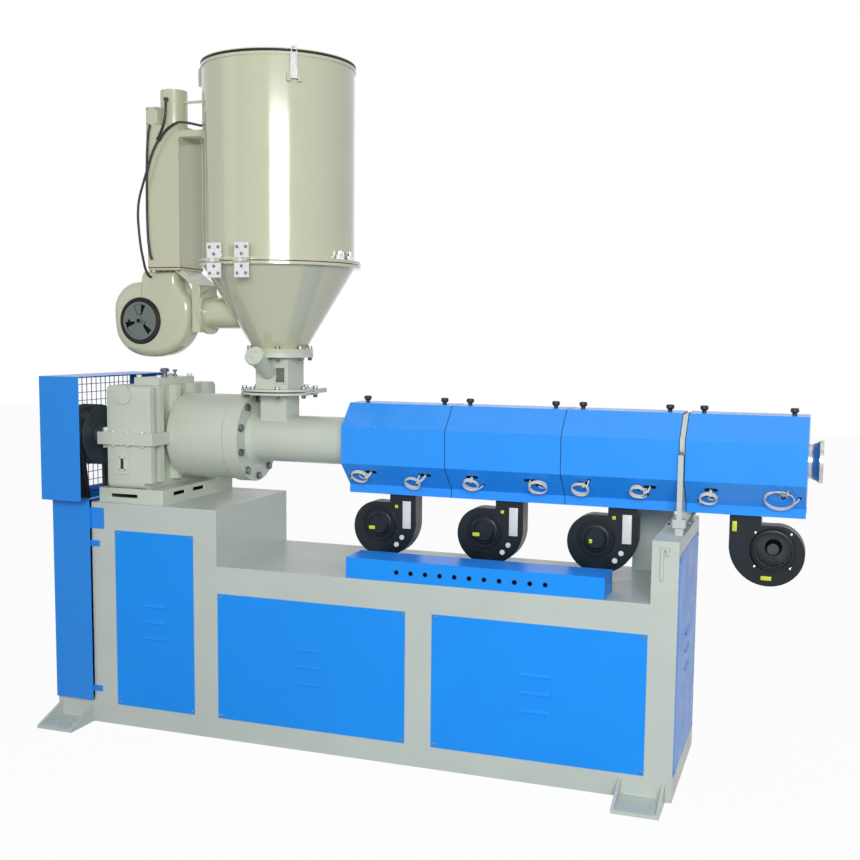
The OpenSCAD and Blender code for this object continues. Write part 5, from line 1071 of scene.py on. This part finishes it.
class EXTRUDER_OT_dryer(bpy.types.Operator):
    """Cast the dryer blower, its motor and the heater box fittings"""

    bl_idname = "extruder.dryer"
    bl_label = "Dryer blower and heater box"

    def execute(self, context):
        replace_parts(self.casing(), "dryer_blower")
        self.inlet()
        self.motor()
        self.box_fittings()
        return {"FINISHED"}

    def outline(self):
        """Rounded scroll outline with a straight neck, as points about the blower's centre."""
        given = [Vector(point) for point in FAN_OUTLINE]
        start, end = given[0], given[-1]
        return [start, start.lerp(given[1], 0.5), *smooth_route(given[1:-1], 5),
                given[-2].lerp(end, 0.5), end]

    def casing(self):
        """Casting lofted from the inlet ring over round shoulders to the back, with its flange on top."""
        shoulder = 30
        steps = 7
        inlet_r = 84
        outline = self.outline()
        profile = [(inlet_r, FAN_HALF)]
        for step in range(steps + 1):
            turn = math.pi / 2 * step / steps
            profile.append((shoulder * (1 - math.sin(turn)), FAN_HALF - shoulder * (1 - math.cos(turn))))
        rings = []
        bm = bmesh.new()
        mirrored = [(inset, -y) for inset, y in reversed(profile[1:])]
        for inset, y in profile + mirrored:
            ring = []
            for point in outline:
                reach = point.length
                r = inset if inset == inlet_r else reach - inset * min(1.0, 1.6 - reach / 330)
                ring.append(bm.verts.new((point.x / reach * r, -y, point.y / reach * r)))
            rings.append(ring)
        for first, second in zip(rings, rings[1:]):
            for index in range(len(outline)):
                after = (index + 1) % len(outline)
                bm.faces.new((first[index], first[after], second[after], second[index]))
        bm.faces.new(rings[-1])
        bm.faces.new(rings[0])
        bmesh.ops.translate(bm, vec=(FAN_X, 0, FAN_Z), verts=bm.verts)
        add_block(bm, (-830, -83, HEATER_FLANGE_LOW), (-698, 83, HEATER_FLANGE_LOW + 8), 2)
        return make_piece(bm, "dryer_blower_casing", "hopper_paint", "hopper", sharp_angle=50)

    def inlet(self):
        """Black inlet ring with its seat, whose three openings the shutter uncovers, and a dark disc behind
        them that is painted shade inside the inlet.
        """
        bm = bmesh.new()
        add_turned(bm, (FAN_X, -FAN_HALF, FAN_Z), FRONTWARD, [
            (71, 0), (86, 0), (86, 4), (82, 8), (73, 8), (71, 6)], 64)
        make_piece(bm, "dryer_inlet_ring", "seal_black", "hopper")
        # Painted shade: a dark disc where the blower's shaded inside shows through the seat's openings.
        dark = bmesh.new()
        add_turned(dark, (FAN_X, -FAN_HALF - 0.5, FAN_Z), FRONTWARD, [
            (0, 0), (71.5, 0), (71.5, 1), (0, 1)], 48, False)
        make_piece(dark, "dryer_inlet_depth", "slot_dark", "hopper")
        seat = bmesh.new()
        for first in (85, 205, 325):
            turns = [first + 70 * step / 8 for step in range(9)]
            points = [on_circle(71, turn) for turn in turns]
            points += [on_circle(23, turn) for turn in reversed(turns)]
            add_plate(seat, points, (FAN_X, -FAN_HALF - 1.5, FAN_Z), X_AXIS, Z_AXIS, 2.5)
        make_piece(seat, "dryer_inlet_seat", "shutter_grey", "hopper")
        stop = bmesh.new()
        add_hex(stop, (FAN_X, -FAN_HALF - 10.5, FAN_Z), FRONTWARD, 13, 7)
        add_cap_screw(stop, (FAN_X - 45, -FAN_HALF - 8, FAN_Z), FRONTWARD, 9)
        make_piece(stop, "shutter_screws", "slot_dark", "shutter")

    def motor(self):
        """Finned motor behind the casing with a cowl and a terminal box."""
        bm = bmesh.new()
        add_turned(bm, (FAN_X, FAN_HALF, FAN_Z), (0, 1, 0), [
            (0, 0), (62, 0), (62, 8), (52, 10), (52, 66), (61, 68), (61, 90), (55, 96), (0, 96)], 40, False)
        fins = 26
        for fin in range(fins):
            angle = 2 * math.pi * fin / fins
            outward = Vector((math.cos(angle), 0, math.sin(angle)))
            side = Vector((-math.sin(angle), 0, math.cos(angle)))
            start = Vector((FAN_X, FAN_HALF + 10, FAN_Z)) + outward * 50 - side * 1.2
            add_plate(bm, [(0, 0), (10, 0), (10, 56), (0, 56)], start, outward, (0, 1, 0), -2.4)
        add_block(bm, (FAN_X - 26, FAN_HALF + 17, FAN_Z + 46), (FAN_X + 26, FAN_HALF + 67, FAN_Z + 62), 3)
        make_piece(bm, "dryer_motor", "motor_grey", "hopper")

    def box_fittings(self):
        """Flange screws under the heater box, screws of its terminal lid and cable glands."""
        bm = bmesh.new()
        for x in (-822, -790, -764, -738, -706):
            for y in (-76, 76):
                add_hex(bm, (x, y, HEATER_FLANGE_LOW), DOWNWARD, 7, 4)
        for x in (-824, -788):
            for z in (2172, 2225):
                add_cap_screw(bm, (x, TERMINAL_FRONT, z), FRONTWARD, 6)
        make_piece(bm, "heater_box_screws", "screw_steel", "hopper")
        glands = bmesh.new()
        for x, y, z in ((-776, TERMINAL_FRONT + 4, 2117), (-764, -46, 2262)):
            add_hex(glands, (x, y, z), FRONTWARD, 15, 8)
            add_turned(glands, (x, y - 8, z), FRONTWARD, [(4.8, 0), (7, 0), (7, 5), (4.8, 8)], 20)
        make_piece(glands, "cable_glands", "knob_black", "hopper")


class EXTRUDER_OT_blowers(bpy.types.Operator):
    """Put the motor hubs, blank labels, dots and screws on the cooling blowers"""

    bl_idname = "extruder.blowers"
    bl_label = "Blower fittings"

    def execute(self, context):
        dots = (
            ((-24, -13, 22, 12), (63, 64, 11, 11)), ((-26, -12, 24, 12), (62, 68, 11, 11)),
            ((-38, -9, 13, 13), (-15, -8, 10, 13), (58, 72, 11, 11)))
        for number, centre in enumerate(BLOWER_CENTRES[:3]):
            self.motor_hub(number + 1, centre)
            yellow = bmesh.new()
            for x, z, wide, tall in dots[number]:
                self.patch(yellow, centre, self.face_depth(x, z), x, z, wide, tall)
            make_piece(yellow, f"blower_{number + 1}_marks", "yellow_dot", "machine")
            white = bmesh.new()
            self.patch(white, centre, BLOWER_FACE, 101, 36, 30, 96)
            for x, z in ((84, -44), (64, -70)):
                add_turned(white, (centre + x, BLOWER_FACE + 0.5, BLOWER_Z + z), FRONTWARD, [
                    (0, 0), (9, 0), (9, 4), (7, 6), (0, 6)], 20, False)
            make_piece(white, f"blower_{number + 1}_label", "blank_label", "machine")
        self.inlet_side(BLOWER_CENTRES[3])
        return {"FINISHED"}

    def patch(self, bm, centre, face, x, z, wide, tall):
        """Blank label of a width and height, at a place from a blower's centre."""
        add_block(bm, (centre + x - wide / 2, face - 1, BLOWER_Z + z - tall / 2),
                  (centre + x + wide / 2, face + 0.5, BLOWER_Z + z + tall / 2), 0.4)

    def face_depth(self, x, z):
        """Y of the front face at a place on a motor-side blower: its hub, its ring or its plate."""
        reach = math.hypot(x, z)
        return BLOWER_FACE - 13 if reach < 30 else BLOWER_FACE - 2.5 if reach < 62 else BLOWER_FACE

    def motor_hub(self, number, centre):
        """Stepped hub and raised rings round the motor."""
        bm = bmesh.new()
        ring_place = (centre, BLOWER_FACE - 2.5, BLOWER_Z)
        add_turned(bm, ring_place, FRONTWARD, [
            (0, 0), (46, 0), (46, 3), (42, 5), (37, 5), (34, 8), (31, 10.5), (0, 10.5)], 56, False)
        for radius in (52, 58):
            add_turned(bm, ring_place, FRONTWARD, [
                (radius - 1.6, 0), (radius + 1.6, 0), (radius + 0.8, 2.4), (radius - 0.8, 2.4)], 56)
        for turn in (35, 155, 275):
            x, z = on_circle(40, turn)
            add_cap_screw(bm, (centre + x, BLOWER_FACE - 7, BLOWER_Z + z), FRONTWARD, 7)
        make_piece(bm, f"blower_{number}_hub", "blower_dark", "machine")

    def inlet_side(self, centre):
        """Rounded inlet lip, its screws and the blank yellow labels of the last blower."""
        bm = bmesh.new()
        add_turned(bm, (centre, BLOWER_FACE - 4, BLOWER_Z), FRONTWARD, [
            (56.5, 0), (70, 0), (68, 3), (63, 6), (58, 6), (56.5, 4)], 64)
        make_piece(bm, "blower_4_lip", "blower_dark", "machine")
        screws = bmesh.new()
        for turn in (45, 135, 225, 315):
            x, z = on_circle(76, turn)
            add_cap_screw(screws, (centre + x, BLOWER_FACE, BLOWER_Z + z), FRONTWARD, 8)
        make_piece(screws, "blower_4_screws", "bright_steel", "machine")
        labels = bmesh.new()
        for x, z, wide, tall in ((-118, 70, 14, 32), (-17, -90, 32, 13)):
            self.patch(labels, centre, BLOWER_FACE, x, z, wide, tall)
        make_piece(labels, "blower_4_marks", "yellow_dot", "machine")


class EXTRUDER_OT_covers(bpy.types.Operator):
    """Put the leads' grommet rings and slots, whose sunk middles are painted shade, and the joint lines on
    the covers, and edge the tray's holes
    """

    bl_idname = "extruder.covers"
    bl_label = "Cover and tray fittings"

    def execute(self, context):
        grommets_and_slot_shade = bmesh.new()
        for (cover, share, rise, radius, turns, lean), (along, up) in zip(COILS, LEAD_SLOTS):
            points = coil_points(radius, turns)
            for x, y, _ in (points[0], points[-1]):
                ring = bmesh.new()
                add_turned(ring, (x, y, -0.5), UPWARD, [(2.4, 0), (6, 0), (5.4, 2.4), (3, 3), (2.4, 2)], 20)
                self.join(grommets_and_slot_shade, ring, slope_matrix(cover, share, rise, lean))
            # Painted shade: each slot's solid sunk middle is dark where the sleeves come out of a shaded
            # opening.
            slot = bmesh.new()
            self.oval_slot(slot)
            self.join(grommets_and_slot_shade, slot, slope_matrix(cover, along, up, 0))
        make_piece(grommets_and_slot_shade, "lead_grommets", "slot_dark", "machine", unit=1.0)
        holes = bmesh.new()
        for number in range(context.scene.extruder_sizes.tray_holes):
            place = (220 + 50 * number, FRAME_FRONT + 2, 650.2)
            add_turned(holes, place, FRONTWARD, [
                (4.6, 0), (6.4, 0), (6.4, 2), (8, 2.4), (7.4, 3.6), (4.6, 3.6)], 24)
        make_piece(holes, "tray_grommets", "slot_dark", "machine")
        seams = bmesh.new()
        for start in COVER_STARTS[1:]:
            self.seam(seams, start / MM)
        make_piece(seams, "cover_seams", "slot_dark", "machine")
        return {"FINISHED"}

    def seam(self, bm, x):
        """Dark joint line between two covers, round the outside of their sheet."""
        half, side, low = COVER_HALF / MM, COVER_SIDE / MM, (COVER_HALF + COVER_LIP) / MM
        corners = [Vector((x, y, z + AXIS_Z / MM)) for y, z in (
            (-side, -low), (-side, -half), (-half, -side), (-half, side), (-side, half),
            (side, half), (half, side), (half, -side), (side, -half), (side, -low))]
        for first, second in zip(corners, corners[1:]):
            length = (second - first).length
            add_plate(bm, [(-1, 0), (1, 0), (1, length), (-1, length)], first, X_AXIS,
                      (second - first).normalized(), 0.4)

    def oval_slot(self, bm):
        """Black rubber edging round a lead's slot, sunk in its middle; the solid sunk middle is painted shade
        of the slot's opening.
        """
        half_l, half_w = 14, 6
        outline = []
        for end in (-1, 1):
            for step in range(9):
                angle = end * math.pi / 2 + math.pi * step / 8
                place = (-end * half_l + half_w * math.cos(angle), half_w * math.sin(angle), 0)
                outline.append(bm.verts.new(place))
        face = bm.faces.new(outline)
        face.normal_update()
        raised = bmesh.ops.extrude_face_region(bm, geom=[face])["geom"]
        top = [item for item in raised if isinstance(item, bmesh.types.BMFace)]
        bmesh.ops.translate(bm, vec=(0, 0, 2), verts=[v for v in raised if isinstance(v, bmesh.types.BMVert)])
        bmesh.ops.inset_region(bm, faces=top, thickness=1.8, depth=-1.2, use_even_offset=True)

    def join(self, target, part, place):
        """Put a finished part in millimetres at its place in another bmesh, in metres."""
        bmesh.ops.transform(part, matrix=place @ Matrix.Scale(MM, 4), verts=part.verts)
        mesh = bpy.data.meshes.new("part")
        part.to_mesh(mesh)
        part.free()
        target.from_mesh(mesh)
        bpy.data.meshes.remove(mesh)


class EXTRUDER_OT_frame(bpy.types.Operator):
    """Lay the weld beads on the frame and put the bolts on the barrel support"""

    bl_idname = "extruder.frame"
    bl_label = "Frame welds and bolts"

    def execute(self, context):
        radius = context.scene.extruder_sizes.weld_width / MM / 2
        bm = bmesh.new()
        for foot in (-FOOT_X, FOOT_X):
            for side in (-1, 1):
                edge = -side * FRAME_FRONT
                add_pipe(bm, [(foot - 64 + 8 * step, edge, FOOT_TOP) for step in range(17)], radius, 8)
                for gusset in (-GUSSET_X, GUSSET_X):
                    for face in (-5, 5):
                        x = foot + gusset + face
                        line = [(x, edge + side * 8 * step, FOOT_TOP) for step in range(16)]
                        add_pipe(bm, line, 0.6 * radius, 8)
        for x in RISER_X:
            add_pipe(bm, [(x, 14 * step - RISER_HALF, RISER_FOOT) for step in range(37)], 0.8 * radius, 8)
        for y in (-RISER_HALF, RISER_HALF):
            add_pipe(bm, [(RISER_X[0] + 12 * step, y, RISER_FOOT) for step in range(23)], 0.8 * radius, 8)
        make_piece(bm, "frame_welds", "frame_paint", "machine")
        bolts = bmesh.new()
        for side in (-1, 1):
            add_hex(bolts, (SUPPORT_X, side * 153, 1066), UPWARD, 14, 9)
            for end in (-1, 1):
                add_hex(bolts, (SUPPORT_X + 27 * end, side * 145, 852), (end, 0, 0), 13, 8)
        make_piece(bolts, "support_bolts", "screw_steel", "machine")
        return {"FINISHED"}


class EXTRUDER_PT_panel(bpy.types.Panel):
    """Buttons and values of the extruder"""

    bl_idname = "EXTRUDER_PT_panel"
    bl_label = "Extruder"
    bl_space_type = "VIEW_3D"
    bl_region_type = "UI"
    bl_category = "Extruder"

    def draw(self, context):
        scene = context.scene
        for group in (scene.extruder_paint, scene.extruder_sizes, scene.extruder_stage):
            for label in group.__annotations__:
                self.layout.prop(group, label)
        for operator in OPERATORS:
            self.layout.operator(operator.bl_idname)


GROUPS = (PaintLook, FittingSizes, StageLook)
OPERATORS = (
    EXTRUDER_OT_stage,
    EXTRUDER_OT_cords,
    EXTRUDER_OT_castings,
    EXTRUDER_OT_gearbox,
    EXTRUDER_OT_feed,
    EXTRUDER_OT_hopper,
    EXTRUDER_OT_dryer,
    EXTRUDER_OT_blowers,
    EXTRUDER_OT_covers,
    EXTRUDER_OT_frame,
)


def register():
    for item in (*GROUPS, *OPERATORS, EXTRUDER_PT_panel):
        bpy.utils.register_class(item)
    bpy.types.Scene.extruder_paint = PointerProperty(type=PaintLook)
    bpy.types.Scene.extruder_sizes = PointerProperty(type=FittingSizes)
    bpy.types.Scene.extruder_stage = PointerProperty(type=StageLook)


def unregister():
    del bpy.types.Scene.extruder_paint
    del bpy.types.Scene.extruder_sizes
    del bpy.types.Scene.extruder_stage
    for item in (EXTRUDER_PT_panel, *reversed(OPERATORS), *reversed(GROUPS)):
        bpy.utils.unregister_class(item)


def main():
    """Register the classes and make every piece."""
    register()
    make_finishes()
    bpy.ops.extruder.stage()
    bpy.ops.extruder.cords()
    bpy.ops.extruder.castings()
    bpy.ops.extruder.gearbox()
    bpy.ops.extruder.feed()
    bpy.ops.extruder.hopper()
    bpy.ops.extruder.dryer()
    bpy.ops.extruder.blowers()
    bpy.ops.extruder.covers()
    bpy.ops.extruder.frame()


if __name__ == "__main__":
    main()
